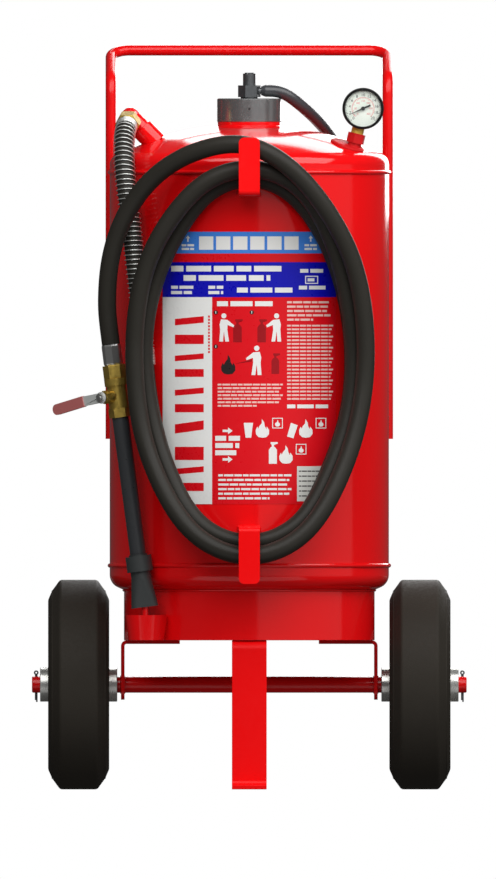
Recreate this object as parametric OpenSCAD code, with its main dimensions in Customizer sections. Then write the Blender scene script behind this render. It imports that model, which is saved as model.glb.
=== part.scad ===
// Wheeled fire extinguisher: a dry powder tank on two wheels and a front leg.
// Millimetres, +Z up, front towards -Y, origin on the floor under the middle of the object.

/* [Tank] */
// Outer radius of the tank
tank_r = 225; // [224.8:0.1:225]
// Thickness of the tank's steel
tank_wall = 4; // [3:0.5:5]
// Height of the lower seam, where the barrel meets the bottom dish
seam_low = 361; // [358:1:364]
// Height of the upper seam, where the barrel meets the top dish
seam_high = 995; // [992:1:998]
// Outer radius of the skirt under the tank
skirt_r = 202; // [200:1:203]

/* [Running gear] */
// Radius of the tyres
tyre_r = 169; // [165:1:170]
// Width of the tyres
tyre_w = 99; // [94:1:99]
// Distance from the middle of the object to the middle of a wheel
wheel_x = 275.1; // [275:0.1:276]
// Distance of the axle behind the tank's middle
axle_y = 70; // [60:1:80]
// Diameter of the axle
axle_d = 26.3; // [25:0.1:28]
// Width of the front leg
leg_w = 56; // [50:1:60]

/* [Handle] */
// Diameter of the handle's tube
handle_d = 17; // [16:0.5:17]
// Height of the top of the handle
handle_top = 1200; // [1190:1:1210]

/* [Hose and lance] */
// Outer diameter of the discharge hose
hose_d = 29.5; // [28:0.5:29.5]
// Outer diameter of the spring guard on the hose
guard_d = 34; // [33:0.5:34]
// Length of the lance tube
lance_len = 222.5; // [220:0.5:225]
// Width of the nozzle's mouth
nozzle_w = 44; // [40:1:46]

/* [Gauge] */
// Diameter of the pressure gauge
gauge_d = 67; // [60:1:68]

/* [Driving gas] */
// Diameter of the carbon dioxide cylinder
co2_d = 108; // [104:1:108]
// Outer diameter of the gas hose
gas_hose_d = 19.6; // [18:0.2:19.6]

/* [Hidden] */
$fn = 96;

tank_y = -8.5;            // the tank's middle, in front of the origin
seam_bead = 3.6;          // how far the weld seams stand proud
crown_r = 516;            // crown radius of both dished ends
knuckle_r = 22;           // knuckle radius of both dished ends
knuckle_at = 225 - knuckle_r;
dish_rise = sqrt((crown_r - knuckle_r) ^ 2 - knuckle_at ^ 2);
top_knuckle = seam_high + 11.5;
low_knuckle = seam_low - 15;
top_crown = top_knuckle - dish_rise;   // centre of the top dish's crown
low_crown = low_knuckle + dish_rise;
skirt_wall = 5;
skirt_low = 240.3;

neck_r = 43;
collar_r = 51;
cap_r = 51.8;
cap_low = 1076;
cap_top = 1114;
gas_in_z = 1126.2;          // height of the gas hose's end on the cap

wheel_z = tyre_r;
hub_r = 27.5;
hub_len = 124.4;
hub_bore = 18;
run_gap = 0.05;           // radial clearance of a running fit
axle_end = 350.4;
pin_x = 343.5;
pin_r = 2.1;
pin_tail = 28.4;          // how far a split pin reaches below the axle's middle
rim_r = 78;
rim_flange = 88;
bead_half = 36;           // half the distance between the rim's flanges
plate_t = 5.8;            // steel plate of the axle brackets
bracket_x = 206.9;        // outer face of the axle brackets
leg_t = 7;
leg_y = -205;
foot_y = -250;

handle_x = 223.2;
handle_y = 80;
handle_low = 565;
handle_bend = 34;
handle_corner = 30;
handle_slope = 22;        // rise of the handle's top end, in degrees
handle_knee = 1121;

hook_w = 34;
hook_t = 6;
upper_hook_y = -318;
lower_hook_y = -327.5;

hose_sides = 10;
hose_start = [-197, -82, 1070];
hose_dir = unit([-0.15, -0.92, -0.36]);
lance_tilt = 7.35;
lance_top = [-223, -178, 717.5];
lance_dir = [sin(lance_tilt), 0, -cos(lance_tilt)];
// The hose leaves the outlet, runs down inside its spring guard, and lies round the two hooks
// three times. Each row of points is one pass, from a hook to the next.
hose_points = [
  [-203, -144, 1012], [-197, -158, 960], [-189, -167, 895], [-181, -174, 825], [-173, -177, 757],
  [-169, -179, 688], [-162, -184, 620], [-146, -195, 550], [-120, -212, 482], [-82, -230, 414],
  [0, -248, 383], [85, -231, 419], [124, -209, 500], [157, -187, 582], [170, -175, 665],
  [166, -177, 755], [147, -194, 833], [120, -212, 900], [68, -237, 970], [0, -248, 992],
  [-68, -240, 970], [-118, -220, 900], [-150, -211, 832], [-169, -210, 760], [-172, -210, 680],
  [-157, -218, 582], [-127, -239, 498], [-86, -264, 420], [0, -280, 386],
  [86, -264, 421], [127, -240, 502], [159, -217, 584], [171, -206, 665], [166, -212, 765],
  [148, -229, 850], [118, -249, 928], [70, -271, 987], [0, -280, 1006],
  [-70, -276, 987], [-124, -260, 928], [-165, -246, 858], [-184, -238, 770], [-187, -237, 680],
  [-176, -243, 575], [-144, -265, 487], [-92, -292, 402], [0, -309, 364],
  [92, -299, 402], [142, -272, 488], [175, -245, 578], [190, -231, 675], [186, -238, 780],
  [165, -262, 868], [117, -288, 950], [62, -302, 1010], [-5, -298, 1047],
  [-80, -272, 1034], [-146, -234, 1000], [-198, -204, 938], [-226, -187, 862], [-230, -180, 790]
];
hose_control = with_ends(hose_start, hose_dir, 30, hose_points, lance_top, lance_dir, 45);
guard_rings = 8;          // the guard ends at this ring of the hose

ferrule_len = 33.8;
adapter_end = 55;
body_end = 104;
valve_end = 118.5;
stem_at = 83.5;
ball_r = 11;
bore_r = 7.5;
cavity_r = 12.5;
stem_r = 4;
lever_at = 36;
lever_len = 108;
lever_bend = 40;
grip_len = 68;
nozzle_at = valve_end + lance_len;
nozzle_end = 427;

cup_x = -166;
cup_y = -160;
cup_low = 240.5;
cup_top = 281;

nut_len = 20;
outlet_arm = 19;          // from the elbow's corner to the nut
outlet_bend = hose_start - hose_dir * (nut_len + outlet_arm);
outlet_base = [-150, -47, 1042];
outlet_r = 15;

gauge_base = [168, -95, 1034];
gauge_at = [183.4, -95, 1097.6];
gauge_tilt = 13.6;
pad_at = [158, -95];
gauge_r = gauge_d / 2;
gauge_face = -116;
needle_angle = 204;       // the needle's rest, anticlockwise from +X as the viewer sees it

co2_y = 288;
co2_low = 380;
co2_shoulder = 716;
co2_r = co2_d / 2;
co2_out_z = 820;
strap_t = 2.5;
strap_h = 28;
strap_z = [450, 660];

gas_start = [26, 0, gas_in_z];
gas_end = [45, co2_y, co2_out_z];
gas_points = [
  [82, 14, 1104], [104, 50, 1085], [122, 92, 1065], [132, 134, 1054], [138, 175, 1040],
  [134, 209, 1008], [124, 231, 960], [110, 248, 910], [95, 264, 868], [80, 280, 832]
];
gas_control = with_ends(gas_start, [1, 0, 0], 28, gas_points, gas_end, [-1, 0, 0], 18);

function unit(v) = v / norm(v);

// Control points that make the curve start and end at the given points, in the given directions.
function with_ends(start, start_dir, start_len, middle, end, end_dir, end_len) = concat(
  [start - start_dir * start_len, start, start + start_dir * start_len],
  middle,
  [end - end_dir * end_len, end, end + end_dir * end_len]
);

// A point on the smooth curve (a uniform cubic B-spline) through four control points.
function spline_point(p, i, t) =
  ((1 - t) ^ 3 * p[i - 1] + (3 * t ^ 3 - 6 * t ^ 2 + 4) * p[i]
  + (-3 * t ^ 3 + 3 * t ^ 2 + 3 * t + 1) * p[i + 1] + t ^ 3 * p[i + 2]) / 6;

// The direction of that curve.
function spline_dir(p, i, t) = unit(
  -(1 - t) ^ 2 * p[i - 1] + (3 * t ^ 2 - 4 * t) * p[i]
  + (-3 * t ^ 2 + 2 * t + 1) * p[i + 1] + t ^ 2 * p[i + 2]);

// Where a curve gets its rings: at each control point, and half-way between those near a hook.
function near_hook(p) = abs(p[0]) < 10;
function ring_places(p) = concat(
  [for (i = [1 : len(p) - 3]) for (t = near_hook(p[i]) || near_hook(p[i + 1]) ? [0, 0.5] : [0])
    [i, t]],
  [[len(p) - 3, 1]]
);

// One ring of a tube: points round c, across the direction d, the same side always upwards.
function ring_at(c, d, side, r, sides) =
  let (
    u = unit(cross(d, side)),
    v = cross(u, d)
  ) [for (k = [0 : sides - 1]) c + r * (cos(360 * k / sides) * u + sin(360 * k / sides) * v)];

function ring(p, place, side, r, sides) = ring_at(
  spline_point(p, place[0], place[1]), spline_dir(p, place[0], place[1]), side, r, sides);

function hose_places() = ring_places(hose_control);

module placed() {
  translate([0, tank_y, 0]) children();
}

// The two triangles between a step of one ring and the same step of the next, from point a.
function side_faces(n, sides) = [for (i = [0 : n - 2]) for (k = [0 : sides - 1])
  let (a = i * sides + k, b = i * sides + (k + 1) % sides)
  each [[a, b, b + sides], [a, b + sides, a + sides]]];

// A closed solid through rings of points.
module skin(rings) {
  n = len(rings);
  sides = len(rings[0]);
  points = [for (q = rings) each q];
  first = [for (k = [0 : sides - 1]) sides - 1 - k];
  last = [for (k = [0 : sides - 1]) (n - 1) * sides + k];
  polyhedron(points, concat([first], side_faces(n, sides), [last]), convexity = 10);
}

// A tube swept through the given places of a curve.
module swept(p, places, side, r, sides) {
  skin([for (q = places) ring(p, q, side, r, sides)]);
}

// A swept sleeve with an open bore.
module swept_sleeve(p, places, side, r_out, r_in, sides) {
  n = len(places);
  m = n * sides;
  points = concat(
    [for (q = places) each ring(p, q, side, r_out, sides)],
    [for (q = places) each ring(p, q, side, r_in, sides)]
  );
  inner = [for (f = side_faces(n, sides)) [f[2] + m, f[1] + m, f[0] + m]];
  ends = [for (i = [0, n - 1]) for (k = [0 : sides - 1])
    let (a = i * sides + k, b = i * sides + (k + 1) % sides)
    i == 0 ? [b, a, a + m, b + m] : [a, b, b + m, a + m]];
  polyhedron(points, concat(side_faces(n, sides), inner, ends), convexity = 10);
}

module tube(r_out, r_in, h) {
  difference() {
    cylinder(r = r_out, h = h);
    translate([0, 0, -1]) cylinder(r = r_in, h = h + 2);
  }
}

module hexagon(across_flats, h) {
  cylinder(d = across_flats / cos(30), h = h, $fn = 6);
}

// Turns +Z towards a direction.
module pointing(d) {
  rotate([0, acos(d[2] / norm(d)), atan2(d[1], d[0])]) children();
}

// Half outline of a dished end, knuckle centres at y = 0, dish upwards.
module dish_outline(inset, flange) {
  reach = knuckle_at * (100 + dish_rise) / dish_rise;
  intersection() {
    translate([0, -dish_rise]) circle(r = crown_r - inset, $fn = 360);
    polygon([[0, 0], [0, 100], [reach, 100], [knuckle_at, 0]]);
  }
  intersection() {
    translate([knuckle_at, 0]) circle(r = knuckle_r - inset);
    translate([knuckle_at - 30, 0]) square([60, 30]);
  }
  translate([0, -flange]) square([tank_r - inset, flange]);
}

module dish(flange) {
  rotate_extrude($fn = 180) difference() {
    dish_outline(0, flange);
    dish_outline(tank_wall, flange + 1);
  }
}

module top_crown_ball() {
  translate([0, 0, top_crown]) sphere(r = crown_r, $fn = 360);
}

module tank_barrel() {
  color("red") placed() translate([0, 0, seam_low])
    tube(tank_r, tank_r - tank_wall, seam_high - seam_low, $fn = 180);
}

module top_dish() {
  color("red") placed() difference() {
    translate([0, 0, top_knuckle]) dish(top_knuckle - seam_high);
    translate([0, 0, 1000]) cylinder(r = neck_r, h = 100);
    translate(outlet_bend) pointing(outlet_base - outlet_bend) cylinder(r = 10, h = 120);
    translate(gauge_base) rotate([0, gauge_tilt, 0]) translate([0, 0, -30]) cylinder(r = 4, h = 60);
  }
}

module bottom_dish() {
  color("red") placed() translate([0, 0, low_knuckle]) mirror([0, 0, 1])
    dish(seam_low - low_knuckle);
}

module weld_seams() {
  color("darkred") placed() difference() {
    for (z = [seam_low, seam_high]) translate([0, 0, z]) rotate_extrude($fn = 180) difference() {
      translate([tank_r, 0]) circle(r = seam_bead, $fn = 24);
      translate([0, -10]) square([tank_r, 20]);
    }
    for (s = [-1, 1]) translate([s * handle_x, handle_y, handle_low])
      cylinder(d = handle_d + 0.2, h = 500);
  }
}

module base_skirt() {
  color("red") placed() difference() {
    translate([0, 0, skirt_low]) cylinder(r = skirt_r, h = 100, $fn = 180);
    translate([0, 0, skirt_low - 1]) cylinder(r = skirt_r - skirt_wall, h = 102, $fn = 180);
    translate([0, 0, low_crown]) sphere(r = crown_r, $fn = 360);
  }
}

// The printed label on the front of the barrel, between the two hooks.
module front_label() {
  color("white") placed() intersection() {
    translate([0, 0, 460]) tube(tank_r + 0.4, tank_r, 439, $fn = 180);
    translate([-139.6, -240, 460]) cube([279.2, 120, 439]);
  }
}

module filler_neck() {
  color("red") placed() difference() {
    union() {
      difference() {
        translate([0, 0, 1060]) cylinder(r = collar_r, h = cap_low - 1060);
        top_crown_ball();
      }
      translate([0, 0, 1045]) cylinder(r = neck_r, h = 55);
    }
    translate([0, 0, 1040]) cylinder(r = 37, h = 70);
  }
}

module filler_cap() {
  color("dimgray") placed() difference() {
    union() {
      translate([0, 0, cap_low]) cylinder(r = cap_r, h = cap_top - cap_low - 1.5);
      translate([0, 0, cap_top - 1.5]) cylinder(r1 = cap_r, r2 = cap_r - 1.5, h = 1.5);
    }
    translate([0, 0, cap_low - 1]) cylinder(r = neck_r, h = 28);
    translate([0, 0, cap_low]) cylinder(r = 9, h = 50);
    translate([0, -cap_r - 1, 1097]) rotate([-90, 0, 0]) cylinder(r = 2, h = 14);
  }
}

module cap_gasket() {
  color("black") placed() translate([0, 0, 1100]) tube(neck_r, 37, 3);
}

module gas_inlet_fitting() {
  color("gray") placed() difference() {
    union() {
      translate([0, 0, 1096]) cylinder(r = 9, h = cap_top - 1096);
      translate([0, 0, cap_top]) cylinder(r = 14, h = 2);
      translate([0, 0, cap_top + 2]) rotate([0, 0, 10]) hexagon(32, 19);
      translate([0, 0, gas_in_z]) rotate([0, 90, 0]) cylinder(r = 5, h = 22.5);
    }
    translate([0, 0, 1090]) cylinder(r = 4, h = gas_in_z - 1090);
    translate([0, 0, gas_in_z]) rotate([0, 90, 0]) cylinder(r = 3, h = 24);
  }
}

module relief_valve() {
  color("dimgray") placed() translate([0, 0, cap_top + 21]) difference() {
    union() {
      cylinder(r = 10.25, h = 19);
      cylinder(r = 7.5, h = 20.5);
    }
    translate([0, 0, 12]) cylinder(r = 5, h = 12);
    for (a = [15, 75, 135]) rotate([0, 0, a]) translate([-12, -1.2, 17.6]) cube([24, 2.4, 6]);
  }
}

module gas_hose() {
  color([0.15, 0.15, 0.16]) placed()
    swept(gas_control, [for (i = [1 : len(gas_control) - 3]) for (t = [0, 0.5]) [i, t],
      [len(gas_control) - 3, 1]], [0, 0.4, 1], gas_hose_d / 2, 12);
}

module gas_hose_ferrules() {
  color("silver") placed() {
    translate([19, 0, gas_in_z]) rotate([0, 90, 0]) difference() {
      cylinder(r1 = 7, r2 = gas_hose_d / 2, h = 7);
      translate([0, 0, -1]) cylinder(r = 5, h = 4.5);
    }
    translate([27, co2_y, co2_out_z]) rotate([0, 90, 0]) {
      hexagon(17, 8);
      translate([0, 0, 8]) cylinder(r = gas_hose_d / 2, h = 10);
    }
  }
}

// Carries the driving gas from the cap to the bottom of the powder.
module gas_tube() {
  color("silver") placed() translate([0, 0, 330]) tube(9, 6, 766);
}

// Carries the powder from the bottom of the tank up to the outlet.
module siphon_tube() {
  inward = unit(outlet_base - outlet_bend);
  knee = outlet_bend + inward * 110;
  color("silver") placed() difference() {
    union() {
      translate(outlet_bend + inward * 70) pointing(inward) cylinder(r = 13, h = 40);
      translate(knee) sphere(r = 13.5);
      translate([knee[0], knee[1], 330]) cylinder(r = 13, h = knee[2] - 330);
    }
    translate(outlet_bend) pointing(inward) cylinder(r = 10, h = 110);
    translate(knee) sphere(r = 10.5);
    translate([knee[0], knee[1], 320]) cylinder(r = 10, h = knee[2] - 320);
  }
}

module outlet_elbow() {
  down = outlet_base - outlet_bend;
  color("red") placed() difference() {
    union() {
      translate(outlet_base) pointing(-down) cylinder(r = outlet_r, h = norm(down));
      translate(outlet_base) pointing(-down) cylinder(r = 18.5, h = 33);
      translate(outlet_bend) sphere(r = outlet_r + 0.6);
      translate(outlet_bend) pointing(hose_dir) cylinder(r = outlet_r, h = outlet_arm);
    }
    top_crown_ball();
    translate(outlet_bend) pointing(down) cylinder(r = 10, h = 90);
    translate(outlet_bend) sphere(r = 10.6);
    translate(outlet_bend) pointing(hose_dir) cylinder(r = 10, h = outlet_arm + 4);
  }
}

module outlet_nut() {
  color("goldenrod") placed() translate(hose_start - hose_dir * nut_len) pointing(hose_dir)
    difference() {
      rotate([0, 0, 8]) hexagon(35, nut_len);
      translate([0, 0, -1]) cylinder(r = 10, h = nut_len + 2);
    }
}

module discharge_hose() {
  color([0.18, 0.17, 0.15]) placed()
    swept(hose_control, hose_places(), [0, 1, 0], hose_d / 2, hose_sides);
}

module spring_guard() {
  places = [for (i = [0 : guard_rings - 1]) hose_places()[i]];
  color("silver") placed()
    swept_sleeve(hose_control, places, [0, 1, 0], guard_d / 2, hose_d / 2 + 0.4, hose_sides);
}

// Everything on the lance is placed along +Z from the end of the hose, +X to the left.
module on_lance() {
  placed() translate(lance_top) rotate([0, 180 - lance_tilt, 0]) children();
}

// Along the valve's stem, which points to the left and to the front.
module on_stem() {
  on_lance() translate([0, 0, stem_at]) rotate([0, 0, -45]) rotate([0, 90, 0]) children();
}

module hose_ferrule() {
  color("silver") on_lance() difference() {
    union() {
      cylinder(r = 14.9, h = ferrule_len);
      translate([0, 0, 3]) cylinder(r = 15.8, h = ferrule_len - 6, $fn = 8);
    }
    translate([0, 0, -1]) cylinder(r = bore_r, h = ferrule_len + 2);
  }
}

module valve_adapter() {
  color("goldenrod") on_lance() difference() {
    union() {
      translate([0, 0, ferrule_len]) hexagon(32, adapter_end - ferrule_len);
      translate([0, 0, adapter_end - 1]) cylinder(r = cavity_r, h = 16);
    }
    cylinder(r = bore_r, h = adapter_end + 20);
  }
}

module valve_body() {
  color("goldenrod") {
    difference() {
      on_lance() union() {
        translate([0, 0, adapter_end]) cylinder(r = 18.5, h = 12);
        translate([0, 0, adapter_end + 12]) cylinder(r = 16, h = body_end - adapter_end - 12);
        translate([0, 0, body_end]) hexagon(31, valve_end - body_end);
        translate([0, 0, stem_at]) rotate([0, 0, -45]) rotate([0, 90, 0]) cylinder(r = 10, h = 24);
      }
      on_lance() translate([0, 0, adapter_end - 1]) cylinder(r = cavity_r, h = 43);
      on_lance() cylinder(r = bore_r, h = valve_end + 1);
      on_stem() cylinder(r = stem_r + run_gap, h = 30);
    }
  }
}

module valve_seats() {
  color("white") on_lance() difference() {
    union() {
      translate([0, 0, 70]) tube(cavity_r, bore_r, 8);
      translate([0, 0, 89]) tube(cavity_r, bore_r, 8);
    }
    translate([0, 0, stem_at]) sphere(r = ball_r + run_gap);
  }
}

module valve_ball() {
  color("silver") difference() {
    on_lance() translate([0, 0, stem_at]) sphere(r = ball_r);
    on_lance() cylinder(r = bore_r - 0.5, h = 150);
    on_stem() translate([-8, -1.5, 8.5]) cube([16, 3, 8]);
  }
}

module valve_stem() {
  color("silver") on_stem() {
    translate([0, 0, ball_r + 0.3]) cylinder(r = stem_r, h = 32.7);
    translate([-3, -1.5, 8.7]) cube([6, 3, ball_r + 0.3 - 8.7]);
  }
}

module packing_nut() {
  color("darkgoldenrod") on_stem() translate([0, 0, 24]) difference() {
    hexagon(19, 9);
    translate([0, 0, -1]) cylinder(r = stem_r + run_gap, h = 12);
  }
}

// The lever lies along +Y of the stem's frame when the valve is closed.
module on_lever() {
  on_stem() translate([0, 0, lever_at]) rotate([0, 0, 3]) children();
}

module valve_lever() {
  color("silver") on_lever() difference() {
    union() {
      cylinder(r = 9.5, h = 3);
      translate([-8, 0, 0]) cube([16, lever_bend, 3]);
      translate([0, lever_bend, 0]) rotate([0, 0, 4]) translate([-7, -1, 0])
        cube([14, lever_len - lever_bend - 4, 3]);
    }
    translate([0, 0, -1]) cylinder(r = stem_r, h = 5);
  }
}

module lever_grip() {
  color("indianred") on_lever() translate([0, lever_bend, 0]) rotate([0, 0, 4]) difference() {
    union() {
      translate([-8.7, lever_len - lever_bend - grip_len, -2]) cube([17.4, grip_len - 6, 7]);
      translate([0, lever_len - lever_bend - 6, -2]) cylinder(r = 8.7, h = 7);
    }
    translate([-7, -5, 0]) cube([14, lever_len - lever_bend, 3]);
  }
}

module lever_nut() {
  color("dimgray") on_stem() translate([0, 0, lever_at + 3]) difference() {
    hexagon(13, 4);
    translate([0, 0, -1]) cylinder(r = stem_r, h = 6);
  }
}

module lance_tube() {
  color([0.2, 0.2, 0.21]) on_lance() translate([0, 0, valve_end]) difference() {
    cylinder(r1 = 13.4, r2 = 12.8, h = lance_len);
    translate([0, 0, -1]) cylinder(r = 9, h = lance_len + 2);
  }
}

module flare(inset) {
  hull() {
    translate([0, 0, 40]) cylinder(r = 16 - inset, h = 0.1, $fn = 32);
    for (s = [-1, 1]) translate([s * (nozzle_w / 2 - 10), 0, nozzle_end - nozzle_at - 0.1])
      cylinder(r = 10 - inset, h = 0.1, $fn = 32);
  }
}

module nozzle() {
  color([0.22, 0.23, 0.23]) on_lance() translate([0, 0, nozzle_at]) difference() {
    union() {
      cylinder(r = 15, h = 3);
      translate([0, 0, 3]) cylinder(r = 21, h = 25);
      translate([0, 0, 28]) cylinder(r = 16, h = 12.05);
      flare(0);
    }
    translate([0, 0, -1]) cylinder(r = 8, h = 42);
    flare(3);
    translate([0, 0, 7]) flare(3);
  }
}

// A tapered cup on the skirt, with a peg that the nozzle's mouth drops over.
module nozzle_cup() {
  color("red") placed() {
    difference() {
      translate([cup_x, cup_y, cup_low]) cylinder(r1 = 29, r2 = 34, h = cup_top - cup_low);
      translate([cup_x, cup_y, cup_low + 3]) cylinder(r1 = 26.3, r2 = 31.5, h = cup_top - cup_low);
      translate([0, 0, cup_low - 1]) cylinder(r = skirt_r, h = 100, $fn = 180);
    }
    translate([cup_x - 2, lance_top[1], cup_low + 2]) cylinder(r = 5, h = 68);
  }
}

// A flat strip bent into a shelf and a lip with rounded corners.
module hook(lip_y, shelf_z, lip_end) {
  up = lip_end > shelf_z ? 1 : -1;
  low = min(shelf_z, lip_end);
  difference() {
    union() {
      translate([-hook_w / 2, lip_y, shelf_z]) cube([hook_w, -lip_y - 190, hook_t]);
      translate([-hook_w / 2, lip_y, up > 0 ? shelf_z : lip_end + 9])
        cube([hook_w, hook_t, abs(lip_end - shelf_z) - 9 + (up > 0 ? 0 : hook_t)]);
      for (s = [-1, 1]) translate([s * (hook_w / 2 - 9), lip_y, lip_end - up * 9])
        rotate([-90, 0, 0]) cylinder(r = 9, h = hook_t);
      translate([-hook_w / 2 + 9, lip_y, up > 0 ? lip_end - 9 : lip_end]) cube([hook_w - 18, hook_t, 9]);
    }
    translate([0, 0, low - 50]) cylinder(r = tank_r, h = 300, $fn = 180);
  }
}

module upper_hook() {
  color("red") placed() hook(upper_hook_y, 957, 1051);
}

module lower_hook() {
  color("red") placed() hook(lower_hook_y, 417, 331);
}

// Half of the bent tube's middle line, from the bottom of the right leg to the crossbar: each place
// is a point, a direction and the side that stays on the outside of the bends.
function handle_half() =
  let (
    turn = 90 - handle_slope,
    out = [0, sin(turn), cos(turn)],
    knee = [handle_x, handle_y + handle_bend, handle_knee],
    bend_end = knee + handle_bend * [0, -cos(turn), sin(turn)],
    run = (handle_top - handle_d / 2 - bend_end[2]) / sin(handle_slope),
    corner = bend_end + out * (run - handle_corner) - [handle_corner, 0, 0],
    side = [0, -cos(turn), sin(turn)]
  ) concat(
    [[[handle_x, handle_y, handle_low], [0, 0, 1], [0, -1, 0]]],
    [for (k = [0 : 5]) let (a = turn * k / 5) [knee + handle_bend * [0, -cos(a), sin(a)],
      [0, sin(a), cos(a)], [0, -cos(a), sin(a)]]],
    [for (a = [0 : 15 : 90]) [corner + handle_corner * (cos(a) * [1, 0, 0] + sin(a) * out),
      cos(a) * out - sin(a) * [1, 0, 0], side]]
  );

// The same for the left leg, in the opposite order.
function handle_other(half) = [for (i = [len(half) - 1 : -1 : 0])
  let (h = half[i])
  [[-h[0][0], h[0][1], h[0][2]], [h[1][0], -h[1][1], -h[1][2]], h[2]]];

// One bent tube, with pads that weld it to the barrel.
module handle_frame() {
  half = handle_half();
  color("red") placed() {
    skin([for (q = concat(half, handle_other(half))) ring_at(q[0], q[1], q[2], handle_d / 2, 16)]);
    for (s = [-1, 1]) for (z = [590, 780, 950]) difference() {
      translate([s * 218, 66, z]) cube([16, 20, 24], center = true);
      translate([0, 0, z - 20]) cylinder(r = tank_r, h = 40, $fn = 180);
    }
  }
}

module on_gauge_axis() {
  placed() translate(gauge_base) rotate([0, gauge_tilt, 0]) children();
}

module in_gauge() {
  placed() translate([gauge_at[0], 0, gauge_at[2]]) rotate([-90, 0, 0]) children();
}

// A welded pad and a hexagonal boss that the gauge screws into.
module gauge_pad() {
  out = [pad_at[0], pad_at[1], sqrt(crown_r ^ 2 - pad_at[0] ^ 2 - pad_at[1] ^ 2)];
  color("red") difference() {
    union() {
      placed() translate([0, 0, top_crown]) pointing(out) translate([0, 0, crown_r - 6]) {
        cylinder(r = 28, h = 7.5);
        translate([0, 0, 7.5]) cylinder(r1 = 28, r2 = 25, h = 2);
      }
      on_gauge_axis() cylinder(r = 11, h = 9);
      on_gauge_axis() translate([0, 0, 8]) rotate([0, 0, 20]) hexagon(26, 16);
    }
    placed() top_crown_ball();
    on_gauge_axis() translate([0, 0, -20]) cylinder(r = 4, h = 60);
  }
}

module gauge_stem() {
  color("gold") difference() {
    on_gauge_axis() union() {
      translate([0, 0, 24]) cylinder(r = 10, h = 14);
      translate([0, 0, 2]) cylinder(r = 4, h = 26);
    }
    on_gauge_axis() cylinder(r = 1.5, h = 60);
    in_gauge() translate([0, 0, gauge_face]) cylinder(r = gauge_r - 1.5, h = 80);
  }
}

module gauge_case() {
  color([0.1, 0.1, 0.1]) in_gauge() difference() {
    translate([0, 0, gauge_face + 9]) cylinder(r = gauge_r - 1.5, h = 25);
    translate([0, 0, gauge_face + 8]) cylinder(r = gauge_r - 3.5, h = 24);
  }
}

module gauge_bezel() {
  color([0.08, 0.08, 0.08]) in_gauge() translate([0, 0, gauge_face]) difference() {
    cylinder(r = gauge_r, h = 9);
    translate([0, 0, -1]) cylinder(r = gauge_r - 4, h = 11);
    translate([0, 0, 2]) cylinder(r = gauge_r - 3.5, h = 8);
  }
}

module gauge_lens() {
  color([0.9, 0.95, 1, 0.4]) in_gauge() translate([0, 0, gauge_face + 2])
    cylinder(r = gauge_r - 3.5, h = 1.5);
}

module gauge_dial() {
  color("white") in_gauge() translate([0, 0, gauge_face + 8]) tube(gauge_r - 3.5, 1.2, 1);
}

module gauge_needle() {
  color("black") in_gauge() translate([0, 0, gauge_face + 4.6]) {
    rotate([0, 0, -needle_angle]) linear_extrude(1)
      polygon([[-13, -1.6], [-13, 1.6], [0, 1.2], [24, 0.3], [24, -0.3], [0, -1.2]]);
    cylinder(r = 3.2, h = 2);
    cylinder(r = 1.2 - run_gap, h = 9);
  }
}

module bourdon_tube() {
  color("gold") in_gauge() translate([0, 0, gauge_face + 20]) rotate([0, 0, 90 + gauge_tilt])
    rotate_extrude(angle = 260) translate([21, 0]) circle(r = 3, $fn = 24);
}

module axle() {
  color("red") placed() translate([-axle_end, axle_y, wheel_z]) difference() {
    rotate([0, 90, 0]) union() {
      cylinder(d1 = axle_d - 3, d2 = axle_d, h = 1.5);
      translate([0, 0, 1.5]) cylinder(d = axle_d, h = 2 * axle_end - 3);
      translate([0, 0, 2 * axle_end - 1.5]) cylinder(d1 = axle_d, d2 = axle_d - 3, h = 1.5);
    }
    for (s = [-1, 1]) translate([axle_end + s * pin_x, 0, -20]) cylinder(r = pin_r + 0.2, h = 40);
  }
}

// Two bent plates that carry the axle under the skirt.
module axle_brackets() {
  corner = 9;
  color("red") placed() for (s = [0, 1]) mirror([s, 0, 0]) difference() {
    translate([0, axle_y + 38, 0]) rotate([90, 0, 0]) linear_extrude(76) {
      difference() {
        union() {
          translate([112, skirt_low - plate_t]) square([bracket_x - 112 - corner, plate_t]);
          translate([bracket_x - plate_t, 144.6]) square([plate_t, skirt_low - 144.6 - corner]);
          translate([bracket_x - corner, skirt_low - corner]) intersection() {
            circle(r = corner);
            square(corner);
          }
        }
        translate([bracket_x - corner, skirt_low - corner]) circle(r = corner - plate_t);
      }
    }
    translate([0, axle_y, wheel_z]) rotate([0, 90, 0]) cylinder(d = axle_d, h = 300);
  }
}

// A flat bar bent forward into a foot, welded under the skirt.
module front_leg() {
  knee = 15;
  color("red") placed() translate([-leg_w / 2, 0, 0]) rotate([90, 0, 90]) linear_extrude(leg_w) {
    translate([leg_y + knee, skirt_low - leg_t]) square([70, leg_t]);
    translate([leg_y, knee]) square([leg_t, skirt_low - 2 * knee]);
    translate([leg_y + knee, skirt_low - knee]) intersection() {
      difference() {
        circle(r = knee);
        circle(r = knee - leg_t);
      }
      translate([-knee, 0]) square(knee);
    }
    translate([leg_y - knee + leg_t, knee]) intersection() {
      difference() {
        circle(r = knee);
        circle(r = knee - leg_t);
      }
      translate([0, -knee]) square(knee);
    }
    translate([foot_y, 0]) square([leg_y - knee + leg_t - foot_y, leg_t]);
  }
}

module split_pins() {
  color("silver") placed() for (s = [-1, 1]) translate([s * pin_x, axle_y, wheel_z]) {
    translate([0, 0, -pin_tail]) cylinder(r = pin_r, h = pin_tail + 16);
    translate([0, 0, 19.2]) rotate([90, 0, 0]) rotate_extrude($fn = 48) translate([2.4, 0])
      circle(r = 1.5, $fn = 24);
  }
}

module on_wheel(s) {
  placed() translate([s * wheel_x, axle_y, wheel_z]) rotate([0, 90, 0]) children();
}

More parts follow.
